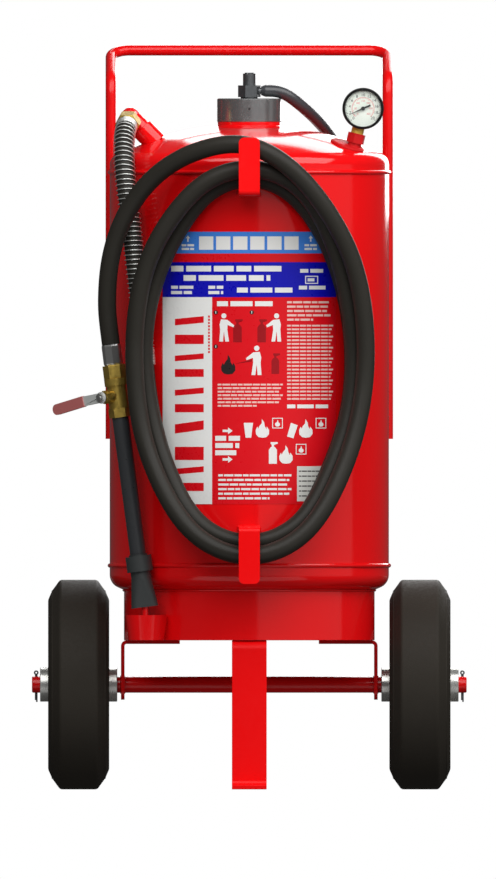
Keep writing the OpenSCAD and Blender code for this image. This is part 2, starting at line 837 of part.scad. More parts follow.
module tyre(s) {
  half = tyre_w / 2;
  color([0.2, 0.19, 0.17]) on_wheel(s) rotate_extrude($fn = 180) difference() {
    polygon([
      [rim_r, -bead_half], [rim_flange + 2, -bead_half], [110, -half + 2], [136, -half], [tyre_r - 2, -31],
      [tyre_r, -27], [tyre_r, 27], [tyre_r - 2, 31], [136, half], [110, half - 2], [rim_flange + 2, bead_half],
      [rim_r, bead_half]
    ]);
    polygon([
      [rim_r - 1, -22], [rim_flange + 10, -26], [112, -36], [134, -38], [154, -24], [156, 24],
      [134, 38], [112, 36], [rim_flange + 10, 26], [rim_r - 1, 22]
    ]);
  }
}

// Two pressed halves, back to back, welded to the hub.
module rim(s) {
  t = 3;
  color([0.75, 0.74, 0.72]) on_wheel(s) for (side = [0, 1]) mirror([0, 0, side])
    rotate_extrude($fn = 180) polygon([
      [hub_r, 0], [60, 0], [rim_r - 4, 14], [rim_r, 14], [rim_r, bead_half], [rim_flange, bead_half],
      [rim_flange, bead_half + t], [rim_r - t, bead_half + t], [rim_r - t, 14 + t], [rim_r - 5, 14 + t],
      [59, t], [hub_r + 6, t], [hub_r + 1, t + 8], [hub_r, t + 8]
    ]);
}

module hub(s) {
  color("silver") on_wheel(s) translate([0, 0, -hub_len / 2]) tube(hub_r, hub_bore, hub_len);
}

module bushes(s) {
  color("white") on_wheel(s) for (side = [0, 1]) mirror([0, 0, side])
    translate([0, 0, hub_len / 2 - 30]) tube(hub_bore, axle_d / 2 + run_gap, 30);
}

module co2_cylinder() {
  color("gray") placed() translate([0, co2_y, 0]) {
    translate([0, 0, co2_low]) cylinder(r1 = co2_r - 8, r2 = co2_r, h = 8);
    translate([0, 0, co2_low + 8]) cylinder(r = co2_r, h = co2_shoulder - co2_low - 8);
    translate([0, 0, co2_shoulder]) intersection() {
      sphere(r = co2_r);
      cylinder(r = co2_r + 1, h = 60);
    }
    translate([0, 0, co2_shoulder + co2_r - 6]) cylinder(r = 14, h = 21);
  }
}

// A shelf under the cylinder and two saddles behind it, welded to the barrel.
module co2_cradle() {
  color("red") placed() {
    difference() {
      translate([-50, 190, co2_low - 6]) cube([100, 145, 6]);
      translate([0, 0, 300]) cylinder(r = tank_r, h = 200, $fn = 180);
    }
    for (z = strap_z) difference() {
      translate([-30, 190, z]) cube([60, 60, strap_h]);
      translate([0, 0, z - 1]) cylinder(r = tank_r, h = strap_h + 2, $fn = 180);
      translate([0, co2_y, z - 1]) cylinder(r = co2_r + strap_t, h = strap_h + 2);
    }
  }
}

module co2_straps() {
  color("silver") placed() for (z = strap_z) translate([0, co2_y, z])
    tube(co2_r + strap_t, co2_r, strap_h);
}

module co2_valve() {
  color("goldenrod") placed() translate([0, co2_y, 0]) difference() {
    union() {
      translate([0, 0, 785]) cylinder(r = 15, h = 50);
      translate([0, 0, 835]) hexagon(20, 11);
      translate([0, 0, co2_out_z]) rotate([0, 90, 0]) cylinder(r = 9, h = 27);
    }
    translate([0, 0, 825]) cylinder(r = stem_r + run_gap, h = 30);
    translate([0, 0, co2_out_z]) rotate([0, 90, 0]) cylinder(r = 3, h = 30);
  }
}

module co2_handwheel() {
  color([0.1, 0.1, 0.1]) placed() translate([0, co2_y, 0]) {
    translate([0, 0, 830]) cylinder(r = stem_r, h = 20);
    translate([0, 0, 850]) cylinder(r = 9, h = 14);
    translate([0, 0, 857]) rotate_extrude() translate([26, 0]) circle(r = 5, $fn = 32);
    for (a = [0 : 90 : 270]) rotate([0, 0, a]) translate([6, 0, 857]) rotate([0, 90, 0])
      cylinder(r = 3, h = 18);
  }
}

tank_barrel();
top_dish();
bottom_dish();
weld_seams();
base_skirt();
front_label();
filler_neck();
filler_cap();
cap_gasket();
gas_inlet_fitting();
relief_valve();
gas_hose();
gas_hose_ferrules();
gas_tube();
siphon_tube();
outlet_elbow();
outlet_nut();
discharge_hose();
spring_guard();
hose_ferrule();
valve_adapter();
valve_body();
valve_seats();
valve_ball();
valve_stem();
packing_nut();
valve_lever();
lever_nut();
lever_grip();
lance_tube();
nozzle();
nozzle_cup();
upper_hook();
lower_hook();
handle_frame();
gauge_pad();
gauge_stem();
gauge_case();
gauge_bezel();
gauge_dial();
gauge_lens();
gauge_needle();
bourdon_tube();
axle();
axle_brackets();
front_leg();
split_pins();
tyre(-1);  // tyre_left
tyre(1);  // tyre_right
rim(-1);  // rim_left
rim(1);  // rim_right
hub(-1);  // hub_left
hub(1);  // hub_right
bushes(-1);  // bushes_left
bushes(1);  // bushes_right
co2_cylinder();
co2_cradle();
co2_straps();
co2_valve();
co2_handwheel();
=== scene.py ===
"""The looks of a wheeled fire extinguisher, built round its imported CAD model.

Places are in millimetres in the tank's own frame, as in the CAD source, unless a name says otherwise:
at() turns them into metres in the row's frame."""

from math import atan2, ceil, cos, degrees, pi, radians, sin, sqrt, tan

import bmesh
import bpy
from mathutils import Matrix, Vector


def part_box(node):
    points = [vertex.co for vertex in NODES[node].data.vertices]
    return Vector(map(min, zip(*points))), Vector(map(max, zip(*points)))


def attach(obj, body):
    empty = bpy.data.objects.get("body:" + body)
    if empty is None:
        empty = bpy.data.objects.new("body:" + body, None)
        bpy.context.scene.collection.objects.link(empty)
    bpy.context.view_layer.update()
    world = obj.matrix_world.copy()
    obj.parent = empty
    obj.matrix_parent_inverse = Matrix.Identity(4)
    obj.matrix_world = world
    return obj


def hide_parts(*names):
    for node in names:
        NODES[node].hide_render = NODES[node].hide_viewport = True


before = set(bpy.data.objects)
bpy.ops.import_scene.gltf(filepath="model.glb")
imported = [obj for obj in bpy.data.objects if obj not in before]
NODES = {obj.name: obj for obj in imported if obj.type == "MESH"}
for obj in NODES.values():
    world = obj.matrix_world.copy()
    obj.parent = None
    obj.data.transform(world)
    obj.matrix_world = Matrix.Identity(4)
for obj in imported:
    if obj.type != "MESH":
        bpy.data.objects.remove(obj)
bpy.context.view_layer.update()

MM = 0.001
SCENE = bpy.context.scene


def span(node):
    """A CAD node's lowest and highest corners in millimetres."""
    low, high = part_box(node)
    return low / MM, high / MM


def reach(node):
    """Half of a CAD node's size each way, in millimetres."""
    low, high = span(node)
    return (high - low) / 2


# ---- driving sizes, from the frame

barrel_low, barrel_high = span("tank_barrel")
TANK_Y = (barrel_low.y + barrel_high.y) / 2


def middle(node):
    """The middle of a CAD node's box, in the tank's frame."""
    low, high = span(node)
    return (low + high) / 2 - Vector((0, TANK_Y, 0))


TANK_R = 225
SEAM_LOW, SEAM_HIGH = barrel_low.z, barrel_high.z
CROWN_R = 516
KNUCKLE_R = 22
KNUCKLE_AT = TANK_R - KNUCKLE_R
DISH_RISE = sqrt((CROWN_R - KNUCKLE_R) ** 2 - KNUCKLE_AT**2)
TOP_KNUCKLE = SEAM_HIGH + 11.5
LOW_KNUCKLE = SEAM_LOW - 15
TOP_CROWN = TOP_KNUCKLE - DISH_RISE
LOW_CROWN = LOW_KNUCKLE + DISH_RISE
SKIRT_LOW = span("base_skirt")[0].z
CAP_LOW, CAP_HIGH = [corner.z for corner in span("filler_cap")]
AXLE_Y, AXLE_Z = middle("axle").yz
WHEEL_X = middle("hub_right").x
TYRE_HALF, TYRE_R = reach("tyre_right").xy
GAUGE_R = reach("gauge_bezel").x
GAUGE = middle("gauge_bezel")
GAUGE.y = span("gauge_bezel")[0].y - TANK_Y
CO2_Y = middle("co2_cylinder").y
CO2_R = reach("co2_cylinder").x
CO2_LOW, CO2_HIGH = [corner.z for corner in span("co2_cylinder")]


def at(point):
    """A point in the tank's frame, in millimetres, as metres in the row's frame."""
    return Vector((point[0], point[1] + TANK_Y, point[2])) * MM


# ---- camera

VIEW_HEIGHT = 1.417
VIEW_CENTRE = Vector((-0.0021, 0, 0.5641))

camera_data = bpy.data.cameras.new("camera")
camera_data.type = "ORTHO"
camera_data.ortho_scale = VIEW_HEIGHT
camera_data.clip_end = 100
camera = bpy.data.objects.new("camera", camera_data)
camera.location = VIEW_CENTRE + Vector((0, -6, 0))
camera.rotation_euler = (radians(90), 0, 0)
SCENE.collection.objects.link(camera)
SCENE.camera = camera


# ---- materials


def shader(name, color, rough, metallic=0.0, wear=0.0, mottle=0.0, grain=200.0,
           bump=0.0, bump_scale=400.0, patches=6.0, coat=0.0, specular=0.5, stretch=(1, 1, 1), slot=None,
           **sockets):
    """A procedural material: in patches its colour varies by mottle and its roughness by wear, and it
    has a fine bump. Its name is the CAD's slot unless slot is given; the slot argument is not used."""
    mat = bpy.data.materials.new(name)
    mat.use_nodes = True
    tree = mat.node_tree
    make, link = tree.nodes.new, tree.links.new
    surface = tree.nodes["Principled BSDF"]
    surface.inputs["Metallic"].default_value = metallic
    surface.inputs["Coat Weight"].default_value = coat
    surface.inputs["Coat Roughness"].default_value = 0.04
    surface.inputs["Specular IOR Level"].default_value = specular
    for socket, value in sockets.items():
        surface.inputs[socket.replace("_", " ")].default_value = value
    place = make("ShaderNodeTexCoord")
    spread = make("ShaderNodeMapping")
    spread.inputs["Scale"].default_value = stretch
    link(place.outputs["Object"], spread.inputs["Vector"])

    def noise(scale, detail):
        node = make("ShaderNodeTexNoise")
        node.inputs["Scale"].default_value = scale
        node.inputs["Detail"].default_value = detail
        link(spread.outputs["Vector"], node.inputs["Vector"])
        return node

    wide, fine = noise(patches, 5), noise(grain, 4)
    both = make("ShaderNodeMath")
    both.operation = "MULTIPLY"
    link(wide.outputs["Fac"], both.inputs[0])
    link(fine.outputs["Fac"], both.inputs[1])
    ramp = make("ShaderNodeMapRange")
    ramp.inputs["From Min"].default_value = 0.12
    ramp.inputs["From Max"].default_value = 0.40
    ramp.inputs["To Min"].default_value = max(0.02, rough - wear)
    ramp.inputs["To Max"].default_value = min(1.0, rough + wear)
    link(both.outputs[0], ramp.inputs["Value"])
    link(ramp.outputs["Result"], surface.inputs["Roughness"])
    tone = make("ShaderNodeMix")
    tone.data_type = "RGBA"
    tone.inputs["A"].default_value = (*[c * (1 - mottle) for c in color], 1)
    tone.inputs["B"].default_value = (*[min(1, c * (1 + mottle)) for c in color], 1)
    link(wide.outputs["Fac"], tone.inputs["Factor"])
    link(tone.outputs["Result"], surface.inputs["Base Color"])
    if bump:
        rise = make("ShaderNodeBump")
        rise.inputs["Strength"].default_value = bump
        rise.inputs["Distance"].default_value = 0.0004
        link(noise(bump_scale, 3).outputs["Fac"], rise.inputs["Height"])
        link(rise.outputs["Normal"], surface.inputs["Normal"])
    return mat


paint = shader("red_paint", (0.78, 0.0035, 0.005), 0.12, wear=0.04, mottle=0.05, bump=0.015,
               bump_scale=260, specular=0.45)
# The same red paint as the tank, made darker: painted shade on the handle and its pads, the axle, its
# brackets and welds, and the gas cylinder's cradle.
shaded_frame_paint = shader("red_paint_shaded_frame", (0.68, 0.004, 0.005), 0.20, wear=0.06, mottle=0.08,
                     bump=0.05, bump_scale=300, specular=0.3, slot="red_paint")
# The same red paint as the tank, made brighter: painted light on the hooks, their welds and the front leg.
lit_hook_paint = shader("red_paint_lit_hook", (0.84, 0.003, 0.004), 0.36, wear=0.08, mottle=0.05,
                    bump=0.05, bump_scale=300, specular=0.12, slot="red_paint")
pad_paint = shader("red_pad_paint", (0.50, 0.006, 0.008), 0.6, wear=0.1, mottle=0.15,
                   bump=0.3, bump_scale=260, specular=0.2)
cap_metal = shader("cap_grey", (0.27, 0.28, 0.28), 0.27, 0.75, wear=0.08, mottle=0.12,
                   bump=0.08, bump_scale=900)
seal = shader("seal_black", (0.02, 0.02, 0.02), 0.7, mottle=0.2, bump=0.1)
zinc = shader("zinc", (0.62, 0.62, 0.60), 0.34, 1.0, wear=0.12, mottle=0.12, bump=0.06)
dark_steel = shader("steel_dark", (0.11, 0.115, 0.12), 0.38, 0.7, wear=0.1, mottle=0.15,
                    bump=0.1, bump_scale=700)
hose_rubber = shader("hose_rubber", (0.024, 0.022, 0.018), 0.46, wear=0.10, mottle=0.25,
                     bump=0.25, bump_scale=700, grain=350, specular=0.15)
gas_rubber = shader("gas_hose_rubber", (0.045, 0.047, 0.052), 0.34, wear=0.08, mottle=0.2,
                    bump=0.2, bump_scale=700, slot="hose_rubber")
brass = shader("brass", (0.52, 0.36, 0.075), 0.36, 0.85, wear=0.1, mottle=0.15, bump=0.12,
               bump_scale=500)
stem_brass = shader("stem_brass", (0.80, 0.50, 0.08), 0.4, 0.4, wear=0.08, mottle=0.08)
ferrule_steel = shader("ferrule_steel", (0.80, 0.80, 0.78), 0.28, 1.0, mottle=0.03, slot="zinc")
guard_zinc = shader("guard_zinc", (0.82, 0.83, 0.80), 0.30, 0.8, wear=0.08, mottle=0.06, slot="zinc")
ptfe = shader("ptfe", (0.85, 0.85, 0.82), 0.5, mottle=0.05, bump=0.02)
chrome = shader("chrome", (0.8, 0.8, 0.8), 0.08, 1.0, wear=0.03, mottle=0.03)
lever_steel = shader("lever_steel", (0.62, 0.64, 0.62), 0.42, 0.3, wear=0.08, mottle=0.08,
                     bump=0.08, bump_scale=600, stretch=(1, 1, 8))
grip_vinyl = shader("grip", (0.46, 0.13, 0.125), 0.55, wear=0.08, mottle=0.08, bump=0.12,
                    bump_scale=500)
lance_black = shader("lance_plastic", (0.032, 0.034, 0.037), 0.34, wear=0.08, mottle=0.15,
                     bump=0.1, bump_scale=600)
nozzle_black = shader("nozzle_plastic", (0.036, 0.04, 0.04), 0.42, wear=0.06, mottle=0.12,
                      bump=0.1, bump_scale=500)
gauge_black = shader("gauge_black", (0.008, 0.008, 0.008), 0.35, wear=0.05, mottle=0.1,
                     specular=0.15)
dial_white = shader("gauge_face", (0.76, 0.82, 0.74), 0.45, mottle=0.02)
mark_black = shader("dial_black", (0.02, 0.02, 0.02), 0.5, mottle=0.02, slot="gauge_face")
mark_red = shader("dial_red", (0.70, 0.12, 0.13), 0.5, mottle=0.02, slot="gauge_face")
tyre_rubber = shader("tyre", (0.030, 0.026, 0.021), 0.66, wear=0.12, mottle=0.22, bump=0.35,
                     bump_scale=420, patches=9, specular=0.08)
rim_cream = shader("rim_cream", (0.60, 0.58, 0.55), 0.3, wear=0.08, mottle=0.05, bump=0.04)
hub_steel = shader("hub_steel", (0.66, 0.66, 0.63), 0.3, 0.7, wear=0.1, mottle=0.1, bump=0.06,
                   stretch=(6, 1, 1))
bush_nylon = shader("bush", (0.78, 0.77, 0.73), 0.45, mottle=0.04)
co2_grey = shader("co2_grey", (0.16, 0.17, 0.18), 0.22, wear=0.05, mottle=0.06, bump=0.02,
                  coat=0.3)
bakelite = shader("bakelite", (0.015, 0.014, 0.014), 0.3, wear=0.05, mottle=0.1)
INK = {
    "sky": (0.05, 0.21, 0.66), "blue": (0.004, 0.004, 0.40), "white": (0.76, 0.76, 0.74),
    "red": (0.66, 0.004, 0.010), "pale": (0.80, 0.50, 0.46), "maroon": (0.30, 0.004, 0.008),
    "black": (0.02, 0.015, 0.015), "paper": (0.62, 0.62, 0.58),
}
INKS = {name: shader("ink_" + name, color, 0.30, wear=0.04, mottle=0.03, specular=0.3)
        for name, color in INK.items()}
lens = bpy.data.materials.new("lens")
lens.use_nodes = True
glass = lens.node_tree.nodes["Principled BSDF"]
glass.inputs["Base Color"].default_value = (1, 1, 1, 1)
glass.inputs["Roughness"].default_value = 0.02
glass.inputs["Transmission Weight"].default_value = 1.0
glass.inputs["IOR"].default_value = 1.12


# ---- making pieces

def piece(obj, material, body="tank", slot=None, replaces=()):
    """Gives a new object its material, its body and the CAD nodes that it stands for; the slot argument is
    not used.
    """
    if obj.name not in SCENE.collection.objects:
        SCENE.collection.objects.link(obj)
    for m in material if isinstance(material, list) else [material]:
        obj.data.materials.append(m)
    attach(obj, body)
    if replaces:
        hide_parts(*replaces)
    return obj


def smooth(obj, bevel=0.0, angle=35, steps=2):
    """Smooth shading with crisp edges: an optional bevel, and normals that follow the large faces."""
    for face in obj.data.polygons:
        face.use_smooth = True
    if bevel:
        edge = obj.modifiers.new("bevel", "BEVEL")
        edge.width = bevel * MM
        edge.segments = steps
        edge.limit_method = "ANGLE"
        edge.angle_limit = radians(angle)
        edge.miter_outer = "MITER_ARC"
    else:
        obj.data.set_sharp_from_angle(angle=radians(angle))
    weighted = obj.modifiers.new("normals", "WEIGHTED_NORMAL")
    weighted.keep_sharp = True
    weighted.weight = 80
    return obj


def mesh_object(name, verts, faces, place=Matrix.Identity(4), materials=None):
    """A mesh from points in millimetres in a frame inside the tank's frame."""
    data = bpy.data.meshes.new(name)
    data.from_pydata([at(place @ Vector(v)) for v in verts], [], faces)
    if materials:
        data.polygons.foreach_set("material_index", materials)
    data.validate()
    made = bmesh.new()
    made.from_mesh(data)
    bmesh.ops.remove_doubles(made, verts=made.verts, dist=1e-7)
    bmesh.ops.recalc_face_normals(made, faces=made.faces)
    made.to_mesh(data)
    made.free()
    return bpy.data.objects.new(name, data)


def rounded(outline, radius, closed=True, steps=4):
    """An outline with each corner turned into an arc. A point may end with its own radius."""
    count, out = len(outline), []
    for i, corner in enumerate(outline):
        here = Vector(corner[:2])
        r = corner[2] if len(corner) > 2 else radius
        if not closed and i in (0, count - 1):
            out.append(tuple(here))
            continue
        before, after = Vector(outline[i - 1][:2]) - here, Vector(outline[(i + 1) % count][:2]) - here
        half = before.angle(after) / 2
        if r <= 0 or half > radians(89):
            out.append(tuple(here))
            continue
        back = min(r / tan(half), before.length * 0.49, after.length * 0.49)
        r = back * tan(half)
        start, end = here + before.normalized() * back, here + after.normalized() * back
        centre = here + (before.normalized() + after.normalized()).normalized() * (r / sin(half))
        turn = (start - centre).angle_signed(end - centre)
        for k in range(steps + 1):
            a = turn * k / steps
            arm = start - centre
            out.append(tuple(centre + Vector((arm.x * cos(-a) - arm.y * sin(-a),
                                              arm.x * sin(-a) + arm.y * cos(-a)))))
    return out


def arc(centre, r, start, end, steps):
    """Points on a circle from one angle to another, in degrees."""
    return [(centre[0] + r * cos(radians(start + (end - start) * k / steps)),
             centre[1] + r * sin(radians(start + (end - start) * k / steps)))
            for k in range(steps + 1)]


def lathe(name, outline, material, place=Matrix.Identity(4), closed=True, steps=128, ripple=None, **facts):
    """Turns an outline of (radius, height) points round the frame's Z axis."""
    verts, faces, n = [], [], len(outline)
    for s in range(steps):
        a = 2 * pi * s / steps
        for k, (r, z) in enumerate(outline):
            if ripple:
                r, z = ripple(r, z, a)
            verts.append((r * cos(a), r * sin(a), z))
    for s in range(steps):
        for k in range(n if closed else n - 1):
            a, b = s * n + k, s * n + (k + 1) % n
            c, d = (s + 1) % steps * n + (k + 1) % n, (s + 1) % steps * n + k
            faces.append([a, b, c, d])
    made = mesh_object(name, verts, faces, place)
    smooth(made)
    return piece(made, material, **facts)


def nut_mesh(flats, height, bore, chamfer=True, per_side=6):
    """A hexagon nut's points and faces, with its corners turned off at both ends."""
    steps = 6 * per_side
    inner = flats / 2 * 0.97
    rings = []
    for s in range(steps):
        a = 2 * pi * s / steps
        off = (a + pi / 6) % (pi / 3) - pi / 6
        reach = flats / 2 / cos(off)
        drop = (reach - inner) * 0.55 if chamfer else 0
        rings.append([(bore, 0), (inner, 0), (reach, drop), (reach, height - drop), (inner, height),
                      (bore, height)])
    verts = [(r * cos(2 * pi * s / steps), r * sin(2 * pi * s / steps), z)
             for s, ring in enumerate(rings) for r, z in ring]
    faces = [[s * 6 + k, s * 6 + (k + 1) % 6, (s + 1) % steps * 6 + (k + 1) % 6, (s + 1) % steps * 6 + k]
             for s in range(steps) for k in range(6)]
    return verts, faces


def nut(name, flats, height, bore, material, place, turn=0.0, **facts):
    """A hexagon nut that stands on the frame's origin."""
    verts, faces = nut_mesh(flats, height, bore)
    made = mesh_object(name, verts, faces, place @ Matrix.Rotation(radians(turn), 4, "Z"))
    smooth(made, angle=20)
    return piece(made, material, **facts)


def path_through(points):
    """A path of straight runs and bends: each point is (position, bend radius)."""
    out = []
    for i, (p, r) in enumerate(points):
        here = Vector(p)
        if i in (0, len(points) - 1) or r <= 0:
            out.append(here)
            continue
        before = (Vector(points[i - 1][0]) - here).normalized()
        after = (Vector(points[i + 1][0]) - here).normalized()
        half = before.angle(after) / 2
        back = r / tan(half)
        centre = here + (before + after).normalized() * (r / sin(half))
        start, axis = here + before * back - centre, before.cross(after).normalized()
        turn = pi - 2 * half
        for k in range(9):
            out.append(centre + Matrix.Rotation(-turn * k / 8, 3, axis) @ start)
    return out


def strap(name, points, across, width, thick, material, round_start=0, round_end=0, place=Matrix.Identity(4),
          bevel=0.6, **facts):
    """A flat bar bent along a path, as wide as width along across, its ends rounded if asked."""
    path, across = path_through(points), Vector(across).normalized()
    lengths = [0]
    for a, b in zip(path, path[1:]):
        lengths.append(lengths[-1] + (b - a).length)
    total = lengths[-1]
    marks = set(lengths)
    for r, near in ((round_start, True), (round_end, False)):
        for k in range(7 if r else 0):
            s = r * (1 - sin(radians(15 * k)))
            marks.add(s if near else total - s)
    verts = []
    for s in sorted(marks):
        i = max(k for k in range(len(path) - 1) if lengths[k] <= s + 1e-6)
        here = path[i].lerp(path[i + 1], min(1, (s - lengths[i]) / (lengths[i + 1] - lengths[i])))
        along = (path[i + 1] - path[i]).normalized()
        if i and s - lengths[i] < 1e-6:
            along = (along + (path[i] - path[i - 1]).normalized()).normalized()
        half = width / 2
        for r, d in ((round_start, s), (round_end, total - s)):
            if r and d < r:
                half = width / 2 - r + sqrt(max(0, r * r - (r - d) ** 2))
        normal = across.cross(along)
        for sx, sn in ((-1, -1), (1, -1), (1, 1), (-1, 1)):
            verts.append(here + across * half * sx + normal * thick / 2 * sn)
    rings = len(verts) // 4
    faces = [[i * 4 + k, i * 4 + (k + 1) % 4, (i + 1) * 4 + (k + 1) % 4, (i + 1) * 4 + k]
             for i in range(rings - 1) for k in range(4)]
    faces += [[0, 1, 2, 3], [rings * 4 - 4 + k for k in range(4)]]
    made = mesh_object(name, verts, faces, place)
    smooth(made, bevel=bevel, angle=50)
    return piece(made, material, **facts)


def wire(name, points, radius, material, cyclic=False, sides=8, **facts):
    """A round rod or tube along points in millimetres."""
    data = bpy.data.curves.new(name, "CURVE")
    data.dimensions = "3D"
    line = data.splines.new("POLY")
    line.points.add(len(points) - 1)
    for p, q in zip(line.points, points):
        p.co = (*at(q), 1)
    line.use_cyclic_u = cyclic
    line.use_smooth = True
    data.bevel_depth = radius * MM
    data.bevel_resolution = sides // 2
    data.use_fill_caps = not cyclic
    return piece(bpy.data.objects.new(name, data), material, **facts)


def weld_bead(name, points, radius, side, material, **facts):
    """A closed weld bead along points, with the small overlapping ripples of a hand-laid weld."""
    count, verts = len(points), []
    points, side = [Vector(p) for p in points], Vector(side)
    for k, here in enumerate(points):
        along = (points[(k + 1) % count] - points[k - 1]).normalized()
        u = along.cross(side).normalized()
        v = u.cross(along)
        r = radius * (1 + 0.14 * sin(k * 1.9) + 0.07 * sin(k * 0.7))
        verts += [here + r * (cos(radians(a)) * u + sin(radians(a)) * v)
                  for a in range(0, 360, 45)]
    faces = [[k * 8 + i, k * 8 + (i + 1) % 8, (k + 1) % count * 8 + (i + 1) % 8, (k + 1) % count * 8 + i]
             for k in range(count) for i in range(8)]
    made = mesh_object(name, verts, faces)
    smooth(made, angle=80)
    return piece(made, material, **facts)


def spline(control, steps):
    """A uniform cubic B-spline through control points, in millimetres."""
    out = []
    for i in range(1, len(control) - 2):
        p = [Vector(c) for c in control[i - 1:i + 3]]
        for k in range(steps + (i == len(control) - 3)):
            t = k / steps
            out.append(((1 - t) ** 3 * p[0] + (3 * t**3 - 6 * t**2 + 4) * p[1]
                        + (-3 * t**3 + 3 * t**2 + 3 * t + 1) * p[2] + t**3 * p[3]) / 6)
    return out


def pointing(origin, direction):
    """A frame at origin with its Z axis along direction."""
    turn = Vector(direction).normalized().to_track_quat("Z", "Y").to_matrix().to_4x4()
    return Matrix.Translation(Vector(origin)) @ turn


def turned(*moves):
    """A frame from moves in order: a letter and an angle turn it, three numbers shift it."""
    out = Matrix.Identity(4)
    for move in moves:
        if isinstance(move[0], str):
            out = out @ Matrix.Rotation(radians(move[1]), 4, move[0])
        else:
            out = out @ Matrix.Translation(Vector(move))
    return out


# ---- the discharge hose

HOSE_D = 0.0295
HOSE_START = Vector((-197, -82, 1070))
HOSE_DIR = Vector((-0.15, -0.92, -0.36)).normalized()
LANCE_TILT = 7.35
LANCE_TOP = Vector((-223, -178, 717.5))
LANCE_DIR = Vector((sin(radians(LANCE_TILT)), 0, -cos(radians(LANCE_TILT))))
# The CAD source's route, in metres: three times round the two hooks and down to the lance.
HOSE_ROUTE = [
    (-.203, -.144, 1.012), (-.197, -.158, .960), (-.189, -.167, .895), (-.181, -.174, .825),
    (-.173, -.177, .757), (-.169, -.179, .688), (-.162, -.184, .620), (-.146, -.195, .550),
    (-.120, -.212, .482), (-.082, -.230, .414), (0, -.248, .383), (.085, -.231, .419),
    (.124, -.209, .500), (.157, -.187, .582), (.170, -.175, .665), (.166, -.177, .755),
    (.147, -.194, .833), (.120, -.212, .900), (.068, -.237, .970), (0, -.248, .992),
    (-.068, -.240, .970), (-.118, -.220, .900), (-.150, -.211, .832), (-.169, -.210, .760),
    (-.172, -.210, .680), (-.157, -.218, .582), (-.127, -.239, .498), (-.086, -.264, .420),
    (0, -.280, .386), (.086, -.264, .421), (.127, -.240, .502), (.159, -.217, .584),
    (.171, -.206, .665), (.166, -.212, .765), (.148, -.229, .850), (.118, -.249, .928),
    (.070, -.271, .987), (0, -.280, 1.006), (-.070, -.276, .987), (-.124, -.260, .928),
    (-.165, -.246, .858), (-.184, -.238, .770), (-.187, -.237, .680), (-.176, -.243, .575),
    (-.144, -.265, .487), (-.092, -.292, .402), (0, -.309, .364), (.092, -.299, .402),
    (.142, -.272, .488), (.175, -.245, .578), (.190, -.231, .675), (.186, -.238, .780),
    (.165, -.262, .868), (.117, -.288, .950), (.062, -.302, 1.010), (-.005, -.298, 1.047),
    (-.080, -.272, 1.034), (-.146, -.234, 1.000), (-.198, -.204, .938), (-.226, -.187, .862),
    (-.230, -.180, .790),
]
hose_control = ([HOSE_START - 30 * HOSE_DIR, HOSE_START, HOSE_START + 30 * HOSE_DIR]
                + [Vector(p) / MM for p in HOSE_ROUTE]
                + [LANCE_TOP - 45 * LANCE_DIR, LANCE_TOP, LANCE_TOP + 45 * LANCE_DIR])
hose_line = spline(hose_control, 10)
hose = wire("discharge_hose_rubber", hose_line, HOSE_D / MM / 2, hose_rubber, sides=24,
            replaces=["discharge_hose"])

LANCE = turned(LANCE_TOP, ("Y", 180 - LANCE_TILT))
ferrule = lathe("hose_ferrule_octagon", rounded([
    (10, 0), (14.6, 0), (15.7, 3), (15.7, 30.8), (14.6, 33.8), (10, 33.8)], 0.5),
    ferrule_steel, LANCE, steps=8, replaces=["hose_ferrule"])

GUARD_LEN = 420
GUARD_R = 16.6
GUARD_PITCH, CLOSE_PITCH = 7.6, 2.6
CLOSE_START, CLOSE_END = 16, 30
GUARD_STEP = 24


def spring_guard():
    """The guard's wire: a helix round the hose, wound close at both ends."""
    lengths = [0]
    for a, b in zip(hose_line, hose_line[1:]):
        lengths.append(lengths[-1] + (b - a).length)
    points, s, a, i = [], 0.0, 0.0, 0
    while s < GUARD_LEN:
        while lengths[i + 1] < s:
            i += 1
        here = hose_line[i].lerp(hose_line[i + 1], (s - lengths[i]) / (lengths[i + 1] - lengths[i]))
        along = (hose_line[min(i + 3, len(hose_line) - 1)] - hose_line[max(i - 3, 0)]).normalized()
        u = along.cross(Vector((0, 1, 0))).normalized()
        v = u.cross(along)
        points.append(here + GUARD_R * (cos(a) * u + sin(a) * v))
        a += radians(GUARD_STEP)
        close = s < CLOSE_START or s > GUARD_LEN - CLOSE_END
        s += (CLOSE_PITCH if close else GUARD_PITCH) * GUARD_STEP / 360
    return points


guard = wire("spring_guard_wire", spring_guard(), 0.85, guard_zinc, sides=6, replaces=["spring_guard"])


# ---- the tank

def crown_z(r, top=True):
    """Height of a dished end's surface at a distance from the axis."""
    rise = sqrt(CROWN_R**2 - r**2)
    return TOP_CROWN + rise if top else LOW_CROWN - rise


slant = degrees(atan2(DISH_RISE, KNUCKLE_AT))
tank_outline = (
    [(0.01, crown_z(0, False))] + arc((0, LOW_CROWN), CROWN_R, -89, -slant, 24)
    + arc((KNUCKLE_AT, LOW_KNUCKLE), KNUCKLE_R, -slant, 0, 10)[1:]
    + [(TANK_R, SEAM_LOW - 6), (TANK_R, SEAM_LOW + 6)]
    + [(TANK_R, z) for z in range(int(SEAM_LOW) + 60, int(SEAM_HIGH) - 20, 60)]
    + [(TANK_R, SEAM_HIGH - 6), (TANK_R, TOP_KNUCKLE - 0.5)]
    + arc((KNUCKLE_AT, TOP_KNUCKLE), KNUCKLE_R, 0, slant, 10)
    + arc((0, TOP_CROWN), CROWN_R, slant, 89, 24)[1:] + [(0.01, crown_z(0))]
)
lathe("tank_shell", tank_outline, paint, closed=False, steps=256,
      replaces=["tank_barrel", "top_dish", "bottom_dish"])


def weld_ripple(r, z, a):
    """Small waves round a weld, for lathe()."""
    k = a * 180 / pi
    return r + 0.10 * sin(k * 2.4) + 0.12 * sin(k * 0.31), z + 0.12 * sin(k * 0.17)


